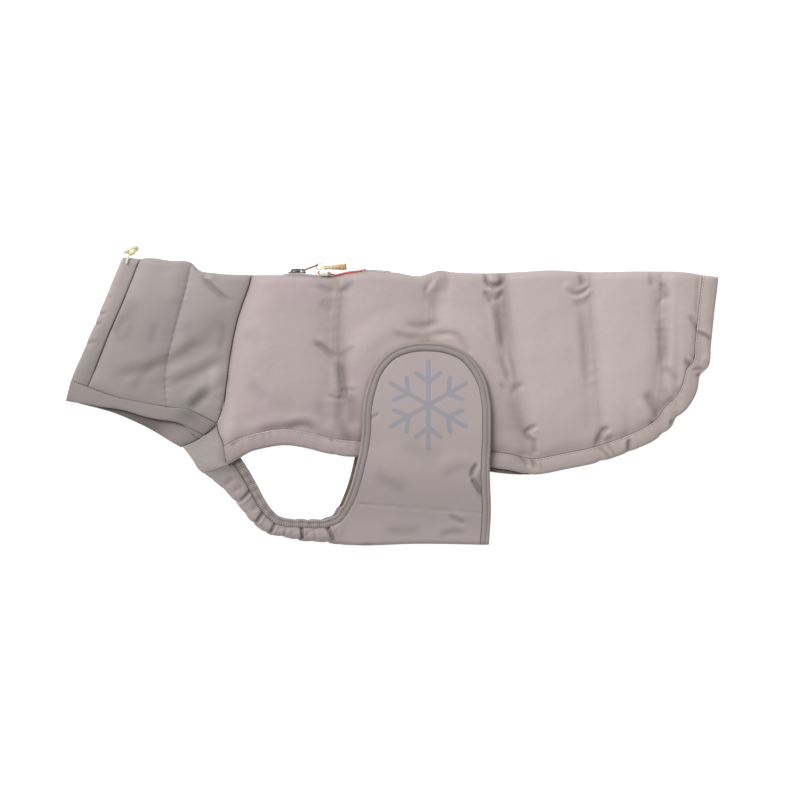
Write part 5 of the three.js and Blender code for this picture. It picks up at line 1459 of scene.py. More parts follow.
    def hem_levels(self, points: Array, s: Array, t: Array, is_lower: bool) -> Levels:
        """A flat tube: raised by sin(pi s) and turned down at both its edges."""
        cut = self.cut
        under = cut.lift(points)
        near_tail = 1 - ease(0, 0.03, t)
        base = under + cut.hem_top - 0.5 - 0.5 * self.pucker(points[..., 0], np.zeros_like(s)) + 0.6 * near_tail
        lower_top = under + cut.shell_wall - 0.2
        upper_under = lower_top + self.layer_gap + 0.2
        from_seam, from_edge = s * cut.hem_width, (1 - s) * cut.hem_width
        small = 0.22 * mottle(points, 8, 11) + 0.12 * mottle(points, 3.6, 12)
        along = (1 - t) * cut.hem.length
        gathers = 0.2 * np.sin(along * 2 * math.pi / 7.5 + 2.5 * mottle(points, 19, 13)) * bell(s - 0.1, 0.5)
        relief = pressed(HEM_CREASES, points) + small + gathers * (0.3 + 0.7 * ease(-0.2, 0.6, mottle(points, 40, 14)))
        top = base + 0.65 * np.sin(np.pi * s) - 0.6 * s * s + relief
        top = top - 0.35 * rounded_edge(from_seam, 0.9) - 0.8 * rounded_edge(from_edge, 2.6)
        top = np.minimum(top, under + cut.hem_top + 0.7 + 2 * ease(1, 9, cut.outside_flap(points)))
        curled = upper_under + 0.5 * rounded_edge(from_edge, 1.6)
        return Levels(np.maximum(top, curled + 0.8), curled, lower_top - 0.4 * rounded_edge(from_edge, 1.5), under)

    def hem_shift(self, s: Array, t: Array, is_lower: bool) -> Array:
        """The upper hem's ride-up."""
        rise = np.zeros_like(t) if is_lower else self.hem_rise(self.hem_plan(s, t)[..., 0])
        return np.stack([np.zeros_like(rise), rise], axis=-1)

    def on_hem(self, share: Array, across: float) -> Array:
        """Points on the hem's upper face, at shares of its length and one share of its width."""
        s, t = np.full((1, share.size), across), 1 - share[None]
        place = self.hem_plan(s, t)
        top = self.hem_levels(place, s, t, False).top
        return np.concatenate([place + self.hem_shift(s, t, False), top[..., None]], axis=-1)[0]

    def _hem(self) -> None:
        """The turned hem with its elastic, from the neck seam round the tail and back along the lower side."""
        cut = self.cut
        sheet = FoldedSheet(
            plan=self.hem_plan,
            columns=graded(11, (0.025, 0.06, 0.11, 0.17), True),
            upper=np.linspace(0, 1, 420),
            lower=np.linspace(0, 1, 200),
            fold=self.hem_fold,
            wall=cut.shell_wall,
            length=lambda s: np.full(s.shape, cut.hem.length),
            levels=self.hem_levels,
            shift=self.hem_shift,
            # Painted shade: a little all over the hem, more in its creases and beside the flap.
            marks=lambda points, s, t: {"hollow": np.clip(0.08 + 0.8 * folds(HEM_CREASES, points) + self.flap_shadow(points), 0, 1)},
        )
        body = sheet.build()
        hem = body.mesh("hem_casing_turned")
        finish_piece(hem, "coat", "shell_cloth", self.finishes.hem, "hem_casing")
        area = body.area()

    def _lining(self) -> None:
        """The lower layer's pile, where the upper hem has ridden up."""
        cut = self.cut
        share = np.linspace(float(cut.hem.share_at_x(200)), float(cut.hem.share_at_x(252)), 70)[:, None]
        inset = np.linspace(0.3, 11.3, 16)[None, :]
        place = cut.hem_seam(np.broadcast_to(share, (70, 16)), np.broadcast_to(inset, (70, 16)))
        rest = cut.lift(place) + cut.shell_wall - 0.2 + cut.rest_gap
        tufts = 0.8 + 0.25 * mottle(place, 1.6, 21)
        body = Body(*(np.concatenate([place, level[..., None]], axis=-1) for level in (rest + tufts, rest)))
        lining = body.mesh("shell_lining_pile")
        finish_piece(lining, "coat", "lining", self.finishes.lining, "shell_lining")
        area = body.area()


@dataclass
class Collar:
    """The standing collar, its drawstring tunnel and the cord with its knot at the nape."""

    cut: Outlines
    finishes: Finishes
    wall: float = 3.0
    fold: float = 5.6
    puff: float = 2.6
    lower: float = 3.2
    casing_end: float = 0.1225
    quilt: Rows = (
        (-51.4, -8), (-56, 14), (-62, 36), (-68.5, 61), (-72.8, 80), (-73.8, 97), (-72.7, 116.5),
    )  # fmt: skip

    def build(self) -> None:
        """Makes the collar's pieces."""
        self._panel()
        self._casing()
        self._drawstring()

    def hollow(self, points: Array) -> Array:
        """Painted shade: the panel darkens downwards, along its top edge and the neck seam and in its creases, with
        less shade where it swells by the neck seam.
        """
        x, drop = points[..., 0], -points[..., 1]
        # Painted light: the swell by the neck seam gets less shade.
        swell = 0.42 * bell(x + 25, 14) * bell(drop - 92, 22)
        # Painted shade along the top edge and the neck seam.
        rim = 0.35 * np.exp(-nearest_on(self.cut.collar_top.chain(24), points)[0] / 2)
        rim += 0.7 * np.exp(-nearest_on(self.cut.neck_chain, points)[0] / 1.2)
        return np.clip(0.12 + 0.3 * ease(0, 55, drop) - swell + rim + 0.4 * folds(COLLAR_CREASES, points), 0, 1)

    def _panel(self) -> None:
        """The softshell panel with one quilt seam on each side."""
        cut = self.cut
        gap = cut.seam_gap

        def right(t: Array) -> Array:
            """The neck seam, a little clear of the shell."""
            bow = 0.14 * np.sin(np.pi * np.clip(t, 0, 1)) ** 0.4
            return cut.neck.at(t) - np.stack([bow, np.zeros_like(bow)], axis=-1)

        whole = patch(
            cut.collar_top.at,
            lambda s: cut.collar_seam.at(self.casing_end + (1 - self.casing_end) * s),
            cut.casing_seam.at,
            right,
        )

        def plan(s: Array, t: Array) -> Array:
            """The panel less its sewing gaps."""
            return whole(gap / 90 + s * (1 - 2 * gap / 90), t * (1 - gap / 120))

        def length(s: Array) -> Array:
            """From the fold to the lower seam."""
            return np.linalg.norm(plan(s, np.zeros_like(s)) - plan(s, np.ones_like(s)), axis=-1)

        quilt = Line(self.quilt).chain(40)

        def seam_distance(points: Array) -> Array:
            """Distance to the right of the quilt seam."""
            distance, _, side = nearest_on(quilt, points)
            return distance * side

        def levels(points: Array, s: Array, t: Array, is_lower: bool) -> Levels:
            """A soft dome with one valley, creased, turned down at the seams."""
            full = cut.collar_dome(points)
            from_seam = nearest_on(cut.collar_seam.chain(40), points)[0]
            seam = seam_distance(points)
            other = np.where(seam < 0, nearest_on(cut.casing_seam.chain(20), points)[0], nearest_on(cut.neck.chain(30), points)[0])
            part = np.abs(seam) / np.maximum(np.abs(seam) + other, 1e-6)
            swell = 1 - np.abs(2 * part - 1) ** 2.6
            valley = (0.5 + self.puff * ease(0, 20, from_seam)) * (1 - swell)
            under = np.maximum(self.lower + 1.3, full - self.puff - 2.4)
            to_edge = np.minimum(np.minimum(s * 100, (1 - s) * 100), (1 - t) * 115)
            drift = 0.3 * mottle(points, 30, 31) + 0.1 * mottle(points, 12, 32)
            ruche = 0.16 * np.sin(points[..., 1] * 2 * math.pi / 6.5 + 2 * mottle(points, 17, 33)) * bell(seam, 3.5)
            relief = pressed(COLLAR_CREASES, points) + drift + ruche - 0.5 * bell(seam, 1.3)
            top = full - valley + relief - 0.8 * rounded_edge(to_edge, 1.0) - 0.35 * bell(to_edge, 3.5)
            under = np.minimum(under, np.maximum(self.lower + 0.9, top - 1.5))
            flat = np.zeros_like(full)
            return Levels(np.maximum(top, under + 0.9), under, flat + self.lower, flat)

        sheet = FoldedSheet(
            plan=plan,
            columns=graded(112, (0.004, 0.009, 0.016), True),
            upper=graded(100, (0.004, 0.009, 0.016)),
            lower=np.linspace(0, 1, 12),
            fold=self.fold,
            wall=self.wall,
            length=length,
            levels=levels,
            # Marks: the quilt seam's distance, the drop, and painted fold shade.
            marks=lambda points, s, t: {
                "seam": np.abs(seam_distance(points)),
                "along": -points[..., 1],
                "hollow": self.hollow(points),
            },
        )
        panel = sheet.build().mesh("collar_panel_quilted")
        finish_piece(panel, "coat", "softshell", self.finishes.collar, "collar_panel")

    def _casing(self) -> None:
        """The drawstring tunnel along the front edge."""
        cut = self.cut
        middle = np.array([-103.4, 14.6]) / math.hypot(103.4, 14.6)

        def top_edge(s: Array) -> Array:
            """Bowed a little outwards between the panel and the front edge."""
            share = np.asarray(s, float)[..., None]
            line = cut.front.at(0) * (1 - share) + cut.casing_seam.at(0) * share
            return line + middle * 2.2 * np.sin(np.pi * share)

        whole = patch(top_edge, lambda s: cut.collar_seam.at(self.casing_end * s), cut.front.at, cut.casing_seam.at)

        def plan(s: Array, t: Array) -> Array:
            """The casing less its sewing gaps, with a few shallow bites in its front edge."""
            place = whole(s * (1 - cut.seam_gap / 16), t * (1 - cut.seam_gap / 110))
            bite = 0.5 * bell(place[..., 1] + 36, 1.6) + 0.5 * bell(place[..., 1] + 44.5, 1.8) + 0.3 * bell(place[..., 1] + 62, 2.5)
            wave = 0.15 * np.sin(place[..., 1] / 4.1) * ease(0.05, 0.3, t)
            return place + np.stack([(bite + wave) * (1 - ease(0, 0.5, s)), np.zeros_like(bite)], axis=-1)

        def length(s: Array) -> Array:
            """From the fold to the lower seam."""
            return np.linalg.norm(plan(s, np.zeros_like(s)) - plan(s, np.ones_like(s)), axis=-1)

        def levels(points: Array, s: Array, t: Array, is_lower: bool) -> Levels:
            """A round tunnel: sin(pi s) across, turned down at the seam and the front edge."""
            full = cut.collar_dome(points) - 2.6
            bulge = 1.9 * np.sin(np.pi * np.clip(0.1 + 0.8 * s, 0, 1))
            to_seam = np.minimum((1 - s) * 15.5, (1 - t) * 105)
            relief = 0.14 * mottle(points, 7, 41) + 0.08 * mottle(points, 3.2, 42) + pressed(COLLAR_CASING_CREASES, points)
            top = full + bulge + relief - 0.8 * rounded_edge(to_seam, 1.0) - 0.7 * rounded_edge(s * 15.5, 2.4)
            under = np.minimum(full - 2, top - 1.1) + 0.4 * rounded_edge(s * 15.5, 1.2)
            flat = np.zeros_like(full)
            return Levels(top, np.maximum(under, 3.3), flat + 2.4, flat)

        sheet = FoldedSheet(
            plan=plan,
            columns=graded(14, (0.03, 0.07, 0.12), True),
            upper=graded(96, (0.004, 0.009, 0.016)),
            lower=np.linspace(0, 1, 12),
            fold=5.0,
            wall=2.4,
            length=length,
            levels=levels,
            # Marks: a quilt seam far off, the drop, and painted shade that deepens downwards and in the creases.
            marks=lambda points, s, t: {
                "seam": np.full(t.shape, 9.0),
                "along": -points[..., 1],
                "hollow": np.clip(0.45 * ease(5, 90, -points[..., 1]) + 0.8 * folds(COLLAR_CASING_CREASES, points), 0, 1),
            },
        )
        body = sheet.build()
        casing = body.mesh("collar_casing_tunnel")
        finish_piece(casing, "coat", "softshell", self.finishes.collar, "collar_casing")
        area = body.area()

    def _drawstring(self) -> None:
        """A short cord from its eyelet, over the casing's top edge, into a loose knot with two frayed ends."""
        cut = self.cut
        strand_radius = 0.8
        stations = ((-106.9, 0, 1.7), (-106.2, 0, -0.6), (-105.5, 32, 0), (-104.7, 62, 0))
        route = []
        for x, slant, sink in stations:
            share = (x + 110.5) / 14.8
            edge = 12.6 * (1 - share) + 11.2 * share + 2.2 * math.sin(math.pi * share)
            high = float(cut.collar_dome(np.array([[x, 8.0]]))[0]) - 0.7
            at = beside_fold(x, edge, 5, high, 0, slant, strand_radius + 0.3)
            route.append(at - [0, sink, 0])
        route.append(np.array([-103.6, 17.6, 6.6]))
        knots = np.array(route)
        reach = np.concatenate([[0], np.cumsum(np.linalg.norm(np.diff(knots, axis=0), axis=1))])
        strand = smooth(reach, knots, np.linspace(0, reach[-1], 40))
        turn = np.linspace(0, 2 * math.pi, 120)
        lobes = np.stack(
            [
                -103.3 + 1.55 * (np.sin(turn) + 2 * np.sin(2 * turn)) * 0.98,
                18.9 + 0.9 * (np.cos(turn) - 2 * np.cos(2 * turn)) + 0.16 * (np.sin(turn) + 2 * np.sin(2 * turn)),
                5.2 - 2.2 * np.sin(3 * turn),
            ],
            axis=-1,
        )
        parts = [tube(strand, strand_radius, 12), tube(lobes, 1.95 + 0.15 * np.sin(9 * turn), 14)]
        share = np.linspace(-0.97, 0.97, 14)
        core = np.array([-103.4, 18.9, 5.0]) + share[:, None] * np.array([4.6, 1.7, 0.3])
        parts.append(tube(core, 3.7 * np.sqrt(1 - share**2) + 0.15 * np.sin(11 * share), 16))
        rng = np.random.default_rng(51)
        for end, direction in ((np.array([-99.6, 20.6, 5.4]), np.array([1.0, 0.35, 0.15])), (np.array([-107.2, 17.4, 4.6]), np.array([-1.0, -0.25, 0.0]))):
            for _ in range(26):
                aim = direction + rng.normal(0, 0.45, 3)
                aim /= np.linalg.norm(aim)
                share = np.linspace(0, 1, 5)[:, None]
                bend = rng.normal(0, 0.35, 3)
                hair = end + rng.normal(0, 0.6, 3) + aim * share * rng.uniform(1.6, 3.2) + bend * share**2
                parts.append(tube(hair, np.linspace(0.22, 0.1, 5), 4))
        cord = make_mesh("drawstring_knotted", *merged(parts))
        finish_piece(cord, "coat", "cord_cream", self.finishes.cream, "drawstring")


@dataclass
class ChestKnit:
    """The knit throat panel and the knit chest gusset."""

    cut: Outlines
    finishes: Finishes
    knit_wall: float = 1.6
    pitch: float = 2.25
    sections: tuple[tuple[float, ...], ...] = (
        (0, 17.2, -158.6, 108.2, 9), (0.12, 14.8, -147.1, 112, 9), (0.27, 12.6, -131.6, 116, 9),
        (0.43, 11.6, -115, 121, 9), (0.6, 12.4, -93.1, 130.4, 8), (0.77, 14, -78.5, 138.3, 5),
        (0.9, 14, -68.3, 144.8, -3), (1, 14, -59.4, 149.6, -6),
    )  # fmt: skip

    def build(self) -> None:
        """Makes both pieces."""
        self._throat()
        self._gusset()

    def _throat(self) -> None:
        """A sheet pleated once: its section at each station is a smooth line through the pleat's knots."""
        cut = self.cut
        stations, steps = 110, 84
        u = np.linspace(0, 1, stations)
        seam = cut.collar_seam.at(0.002 + 0.9965 * u)
        edge = np.stack([lookup(self.sections, 2, u), -lookup(self.sections, 3, u)], axis=-1)
        run = edge - seam
        reach = np.linalg.norm(run, axis=1)
        direction = run / reach[:, None]
        fold_at = np.minimum(lookup(self.sections, 1, u), reach + 1.5)
        tuck = lookup(self.sections, 4, u)
        side = np.clip(tuck / 4, -1, 1)
        turn, low, pitch = self.pitch / 2, self.knit_wall / 2, self.pitch
        high = low + 3 * pitch
        back = fold_at - tuck
        lip = np.maximum(reach - turn * 1.2, back + turn * 2.2)
        even = np.ones_like(u)
        knots = np.stack(
            [
                np.stack([cut.seam_gap * even, high * even], -1),
                np.stack([fold_at * 0.5, (high + 0.2) * even], -1),
                np.stack([fold_at - turn * 1.2, high * even], -1),
                np.stack([fold_at, (high - turn) * even], -1),
                np.stack([fold_at - turn * 1.2 * side, (low + 2 * pitch) * even], -1),
                np.stack([back + turn * 1.2 * side, (low + 2 * pitch) * even], -1),
                np.stack([back, (low + 1.5 * pitch) * even], -1),
                np.stack([back + turn * 1.2, (low + pitch) * even], -1),
                np.stack([lip, (low + pitch) * even], -1),
                np.stack([np.maximum(reach, back + turn * 3.2), (low + pitch / 2) * even], -1),
                np.stack([lip, low * even], -1),
                np.stack([reach * 0.45, low * even], -1),
                np.stack([cut.seam_gap * even, low * even], -1),
            ],
            axis=0,
        )
        line = smooth(np.arange(13), knots.reshape(13, -1), np.linspace(0, 12, steps)).reshape(steps, stations, 2)
        line = line.transpose(1, 0, 2)
        tangent = np.gradient(line, axis=1)
        tangent /= np.maximum(np.linalg.norm(tangent, axis=-1, keepdims=True), 1e-9)
        away = np.stack([-tangent[..., 1], tangent[..., 0]], axis=-1) * self.knit_wall / 2
        walked = np.concatenate(
            [np.zeros((stations, 1)), np.cumsum(np.linalg.norm(np.diff(line, axis=1), axis=-1), axis=1)], axis=1
        )
        grids = []
        for sign in (1, -1):
            d = np.maximum(cut.seam_gap, line[..., 0] + sign * away[..., 0])
            z = np.maximum(0, line[..., 1] + sign * away[..., 1])
            place = seam[:, None] + direction[:, None] * d[..., None]
            part = np.clip(d / reach[:, None], 0, 1)
            ends = cut.throat_seam.at(np.array([0.0, 1.0]))
            chord = ends[0] + (ends[1] - ends[0]) * part[..., None]
            place = place + (cut.throat_seam.at(part) - chord) * ease(0.7, 1, u)[:, None, None]
            if sign == 1:
                upper = ease(2 * pitch, 3 * pitch, z)
                rolled = rounded_edge(np.maximum(0, d - cut.seam_gap), 1.3) * upper
                z = z - rolled + upper * 0.16 * mottle(place, 9, 61)
            grids.append(np.concatenate([place, z[..., None]], axis=-1))
        along = np.broadcast_to((u * cut.collar_seam.length)[:, None], walked.shape)
        inner = np.broadcast_to(np.linspace(0, 12, steps) > 3.6, walked.shape) * (1 - ease(0.62, 0.9, u))[:, None]
        # Painted shade: dark by the gusset seam, on a patch by the collar seam, and a little on the pleat's netted
        # inside.
        by_gusset = np.exp(-(1 - u) * cut.collar_seam.length / 6)[:, None]
        corner = bell(grids[0][..., 0] + 54, 11) * bell(grids[0][..., 1] + 122, 9)
        hollow = np.clip(by_gusset + 0.7 * corner + 0.25 * inner, 0, 1)
        body = Body(grids[0], grids[1], {"along": along, "across": walked, "inner": inner, "hollow": hollow})
        throat = body.mesh("throat_panel_knit")
        finish_piece(throat, "coat", "knit", self.finishes.knit, "throat_panel")
        area = body.area()

    def _gusset(self) -> None:
        """The knit gusset, folded along the chest."""
        cut = self.cut
        ribs = ((0, 0), (0.6, 0.7), (1, 1))
        whole = patch(
            cut.gusset_fold.at,
            lambda s: cut.gusset_and_hem_end.at(lookup(ribs, 1, s)),
            lambda t: cut.throat_seam.at(1 - t),
            cut.strap_end.at,
        )

        def plan(s: Array, t: Array) -> Array:
            """The gusset less its sewing gaps."""
            return whole(0.0015 + s * 0.997, t * 0.998)

        def length(s: Array) -> Array:
            """From the fold to its seam."""
            return np.linalg.norm(plan(s, np.zeros_like(s)) - plan(s, np.ones_like(s)), axis=-1)

        def levels(points: Array, s: Array, t: Array, is_lower: bool) -> Levels:
            """Raised by sin(pi t), soft, and turned down at its seams."""
            to_edge = np.minimum(np.minimum(s, 1 - s) * 42, (1 - t) * 28)
            relief = 0.25 * mottle(points, 11, 71) + 0.1 * mottle(points, 4, 72)
            top = 7 + 0.9 * np.sin(np.pi * t) + relief - 0.8 * rounded_edge(to_edge, 1.4) - 0.2 * bell(to_edge, 3)
            flat = np.zeros_like(top)
            return Levels(top, np.minimum(flat + 5.2, top - 0.9), flat + 1.8, flat)

        sheet = FoldedSheet(
            plan=plan,
            columns=graded(60, (0.01, 0.025, 0.04), True),
            upper=graded(46, (0.015, 0.035, 0.06)),
            lower=np.linspace(0, 1, 8),
            fold=3.4,
            wall=2.0,
            length=length,
            levels=levels,
            # Painted shade along the seams at both sides: the throat seam and the strap's end.
            marks=lambda points, s, t: {
                "along": s * 42, "across": t * 30, "inner": 0 * t, "hollow": 0.35 * np.exp(-s * 14) + 0.3 * np.exp(-(1 - s) * 14),
            },  # fmt: skip
        )
        body = sheet.build()
        gusset = body.mesh("chest_gusset_knit")
        finish_piece(gusset, "coat", "knit", self.finishes.gusset_knit, "chest_gusset")
        area = body.area()


@dataclass
class Belly:
    """The chest strap and belly flap in one cut, its binding and the strip of lining that shows."""

    cut: Outlines
    finishes: Finishes
    fold: float = 3.6
    strap_under: float = 3.8
    strap_wall: float = 2.7
    flap_wall: float = 2.9
    far_shift: float = 3.0
    ribs: tuple[tuple[float, ...], ...] = (
        (0, 0, 0), (0.12, 0.13, 0.055), (0.24, 0.25, 0.12), (0.36, 0.37, 0.175), (0.46, 0.46, 0.22),
        (0.56, 0.52, 0.3), (0.66, 0.59, 0.42), (0.78, 0.73, 0.55), (0.9, 0.88, 0.65), (1, 0.965, 0.72),
    )  # fmt: skip
    gathers: tuple[tuple[float, float, float], ...] = (
        (8, 0.7, 2.6), (22, 0.9, 3.2), (36, 1.6, 2.6), (49, 1.3, 2.6), (60, 1.9, 2.4), (73, 1.8, 2.2), (88, 1.2, 2.6),
        (101, 2.2, 2.2), (114, 1.1, 2.8), (127, 2.2, 2.4), (138, 0.8, 2.4),
    )  # fmt: skip

    def __post_init__(self) -> None:
        """Draws the panel's plan."""
        cut = self.cut
        self.corner = self.ribs[-1][2]

        def seam(share: Array) -> Array:
            """Where the panel meets its binding."""
            return cut.belly_seam(share, cut.binding_width + cut.seam_gap)

        def fold_line(s: Array) -> Array:
            """The belly fold by the panel's ribs."""
            return cut.belly_fold.at(lookup(self.ribs, 1, s))

        def left(t: Array) -> Array:
            """The strap's end, bowed like the gusset's seam."""
            t = np.asarray(t, float)
            share = t[..., None]
            ends = cut.strap_end.at(np.array([0.0, 0.78]))
            bow = cut.strap_end.at(0.78 * t) - ends[0] - (ends[1] - ends[0]) * share
            return cut.belly_fold.at(0) * (1 - share) + seam(np.zeros(())) * share + bow + [-0.34, 0.84] + share * [-0.1, 0.12]

        def right(t: Array) -> Array:
            """The flap's rear edge, from the fold up."""
            t = np.asarray(t, float)
            return np.where((t == 0)[..., None], fold_line(np.ones(())), seam(1 + (self.corner - 1) * t))

        self.plan = patch(fold_line, lambda s: seam(lookup(self.ribs, 2, s)), left, right)

    def support(self, points: Array) -> Array:
        """What the flap rests on: the coat's dome, then a slope down to the belly fold, and low along the strap."""
        cut = self.cut
        depth = cut.depth_in_shell(points)
        beyond = 1 - ease(-3, 60, -depth)
        inward = depth - cut.hem_width
        rise = cut.dome_rise * (1 - np.exp(-0.5 * (inward + np.sqrt(inward**2 + 100)) / cut.dome_reach))
        over_shell = self.strap_under + (cut.lift(points) + cut.hem_top + rise - self.strap_under) * beyond
        return self.strap_under + (over_shell - self.strap_under) * ease(60, 86, points[..., 0])

    def base_levels(self, points: Array) -> Levels:
        """The four faces before any relief."""
        under = self.support(points) + self.cut.rest_gap
        wall = self.strap_wall + (self.flap_wall - self.strap_wall) * ease(60, 86, points[..., 0])
        return Levels(under + wall, under, wall, np.zeros_like(wall))

    def shift(self, points: Array, is_lower: bool) -> Array:
        """The lower side of the flap lies a little nearer the neck."""
        if not is_lower:
            return np.zeros(points.shape)
        from_fold = nearest_on(self.cut.belly_fold.chain(30), points)[0]
        x = -self.far_shift * ease(self.fold, 22, from_fold) * ease(0, 55, points[..., 0])
        return np.stack([x, np.zeros_like(x)], axis=-1)

    def _to_lower(self, points: Array) -> Array:
        """The shift of the lower layer, for a strip that lies on it."""
        return points + self.shift(points, True)

    def gather(self, along: Array) -> Array:
        """Troughs across the strap."""
        return sum(depth * bell(along - place, width) for place, depth, width in self.gathers)

    def build(self) -> None:
        """Makes the panel, the binding and the lining strip."""
        self._panel()
        self._binding()
        self._lining()

    def _panel(self) -> None:
        """Strap and flap in one cut."""
        cut = self.cut

        def length(s: Array) -> Array:
            """From the belly fold to the binding."""
            return np.linalg.norm(self.plan(s, np.zeros_like(s)) - self.plan(s, np.ones_like(s)), axis=-1)

        def levels(points: Array, s: Array, t: Array, is_lower: bool) -> Levels:
            """The strap is a soft roll, 1 - (2 t - 1)^2 high, gathered; the flap is flat with light creases."""
            base = self.base_levels(points)
            along = lookup(self.ribs, 1, s) * cut.belly_fold.length
            on_strap = 1 - ease(60, 86, points[..., 0])
            roll = (1 - (2 * t - 1) ** 2) * 2.3
            trough = 0.3 * self.gather(along + 2.2 * mottle(points, 12, 83)) * (0.35 + 0.65 * ease(0.1, 0.9, t))
            strap = roll - trough + 0.3 * mottle(points, 8, 81) + pressed(STRAP_CREASES, points)
            reach = length(s[:, 0])[:, None]
            to_seam = (1 - t) * reach
            flap = 0.28 * mottle(points, 34, 84) + 0.1 * mottle(points, 13, 85) + pressed(FLAP_CREASES, points)
            tack = bell(-points[..., 1] - 198.5 - 0.079 * (points[..., 0] - 91.9), 0.8) * ease(88, 96, points[..., 0])
            flap = flap - 0.7 * tack
            turned = 0.8 * rounded_edge(to_seam, 1.0) + 0.25 * bell(to_seam, 3)
            top = base.top + strap * on_strap + flap * (1 - on_strap) - turned
            top = np.maximum(top, base.under + 1.0)
            return Levels(top, base.under, base.lower_top, base.lower_under)

        def shift(s: Array, t: Array, is_lower: bool) -> Array:
            """The lower layer's shift, and small notches in the belly fold where the strap is pleated."""
            along = lookup(self.ribs, 1, s) * cut.belly_fold.length
            notch = sum(0.45 * depth * bell(along - place, 0.8 * width) for place, depth, width in self.gathers)
            moved = self.shift(self.plan(s, t), is_lower)
            return moved + cut.belly_fold.normal(np.clip(along / cut.belly_fold.length, 0, 1), 6) * (notch * (1 - ease(0, 0.4, t)))[..., None]

        end_chain = cut.strap_end.chain(12)

        def hollow(points: Array, s: Array, t: Array) -> dict[str, Array]:
            """Painted shade: the strap lies in shade, most at its end, its pleats and the seam by the binding are dark,
            and the flap is darker in its folds and towards its lower part.
            """
            on_strap = 1 - ease(60, 86, points[..., 0])
            end = (0.15 + 1.2 * t) * np.exp(-nearest_on(end_chain, points)[0] / 9)
            by_binding = 0.8 * np.exp((t - 1) * length(s[:, 0])[:, None] / 0.8)
            return {
                "hollow": np.clip(
                    by_binding
                    + on_strap * (0.3 + end + 1.3 * folds(STRAP_CREASES, points))
                    + (1 - on_strap) * (0.3 * ease(140, 200, -points[..., 1]) + 0.9 * folds(FLAP_CREASES, points)),
                    0,
                    1,
                )
            }

        strap_columns = np.linspace(0, 0.56, 210)[:-1]
        flap_columns = np.linspace(0.56, 1, 140)
        sheet = FoldedSheet(
            plan=self.plan,
            columns=np.concatenate([strap_columns, flap_columns]),
            upper=graded(88, (0.006, 0.013, 0.022)),
            lower=np.linspace(0, 1, 16),
            fold=self.fold,
            wall=self.strap_wall,
            length=length,
            levels=levels,
            shift=shift,
            marks=hollow,
        )
        body = sheet.build()
        panel = body.mesh("belly_panel_cut")
        finish_piece(panel, "coat", "panel_cloth", self.finishes.flap, "belly_panel")
        area = body.area()

    def _binding(self) -> None:
        """Elastic binding on the strap's inner edge, round the leg opening and the flap."""
        cut = self.cut

        def plan(s: Array, t: Array) -> Array:
            """Across the binding from its seam to its edge, and back along it; the elastic makes its edge wavy."""
            along = (1 - t) * cut.belly_edge.length
            wave = 0.45 * np.sin(along * 2 * math.pi / 11.7) * s * ease(60, 74, along) * (1 - ease(112, 130, along))
            end = (1 - ease(0, 10, along))[..., None] * [-0.9, 2.1]
            return cut.belly_seam(1 - t, cut.binding_width * (1 - s) + wave) + end

        def levels(points: Array, s: Array, t: Array, is_lower: bool) -> Levels:
            """Two low ridges with a stitched groove between them, turned down at both edges."""
            base = self.base_levels(points)
            from_seam, from_edge = s * cut.binding_width, (1 - s) * cut.binding_width
            profile = 0.6 * np.sin(np.pi * s) + 0.5 * bell(s - 0.84, 0.11) - 0.4 * bell(s - 0.6, 0.1) + 0.2 * bell(s - 0.28, 0.2)
            on_strap = 1 - ease(60, 86, points[..., 0])
            along = (1 - t) * cut.belly_edge.length
            ripple = 0.4 * np.sin(along * 2 * math.pi / 8.3 + 2 * mottle(points, 15, 91)) * on_strap
            small = 0.1 * mottle(points, 6, 92) + 0.06 * mottle(points, 2.6, 93)
            top = base.top + profile + ripple + small - 0.6 * rounded_edge(from_seam, 0.8) - 0.9 * rounded_edge(from_edge, 1.5)
            under = base.under + 0.4 * rounded_edge(from_edge, 1.2)
            lower = base.lower_top - 0.3 * rounded_edge(from_edge, 1.2)
            return Levels(np.maximum(top, under + 1.0), under, lower, base.lower_under)

        def marks(points: Array, s: Array, t: Array) -> dict[str, Array]:
            """Across, along, and how far the elastic gathers it: on the strap and round the leg opening; also painted
            shade at its start by the strap's end and along its seam.
            """
            gathered = 1 - ease(74, 96, points[..., 0])
            along = (1 - t) * cut.belly_edge.length
            return {"across": s, "along": along, "gathered": gathered, "hollow": np.clip(0.9 * np.exp(-along / 8) + 0.7 * np.exp(-s * 8), 0, 1)}

        sheet = FoldedSheet(
            plan=plan,
            columns=graded(12, (0.03, 0.07, 0.12), True),
            upper=np.linspace(0, 1, 520),
            lower=np.linspace(0, 1, 240),
            fold=self.fold,
            wall=self.strap_wall,
            length=lambda s: np.full(s.shape, cut.belly_edge.length),
            levels=levels,
            shift=lambda s, t, is_lower: self.shift(plan(s, t), is_lower),
            marks=marks,
        )
        body = sheet.build()
        binding = body.mesh("belly_binding_elastic")
        finish_piece(binding, "coat", "binding", self.finishes.binding, "belly_binding")
        area = body.area() * (cut.binding_width + self.flap_wall) / cut.binding_width

    def _lining(self) -> None:
        """The lower layer's pile inside the leg opening, where the flap has slipped back."""
        cut = self.cut
        share = np.linspace(0.238, 0.318, 60)[:, None]
        inset = np.linspace(0.3, 11.3, 16)[None, :]
        place = self._to_lower(cut.belly_seam(np.broadcast_to(share, (60, 16)), np.broadcast_to(inset, (60, 16))))
        rest = np.full(place.shape[:2], self.strap_wall + cut.rest_gap)
        tufts = 0.5 + 0.15 * mottle(place, 1.6, 95)
        body = Body(*(np.concatenate([place, level[..., None]], axis=-1) for level in (rest + tufts, rest)))
        lining = body.mesh("flap_lining_pile")
        finish_piece(lining, "coat", "lining", self.finishes.lining, "flap_lining")
        area = body.area()


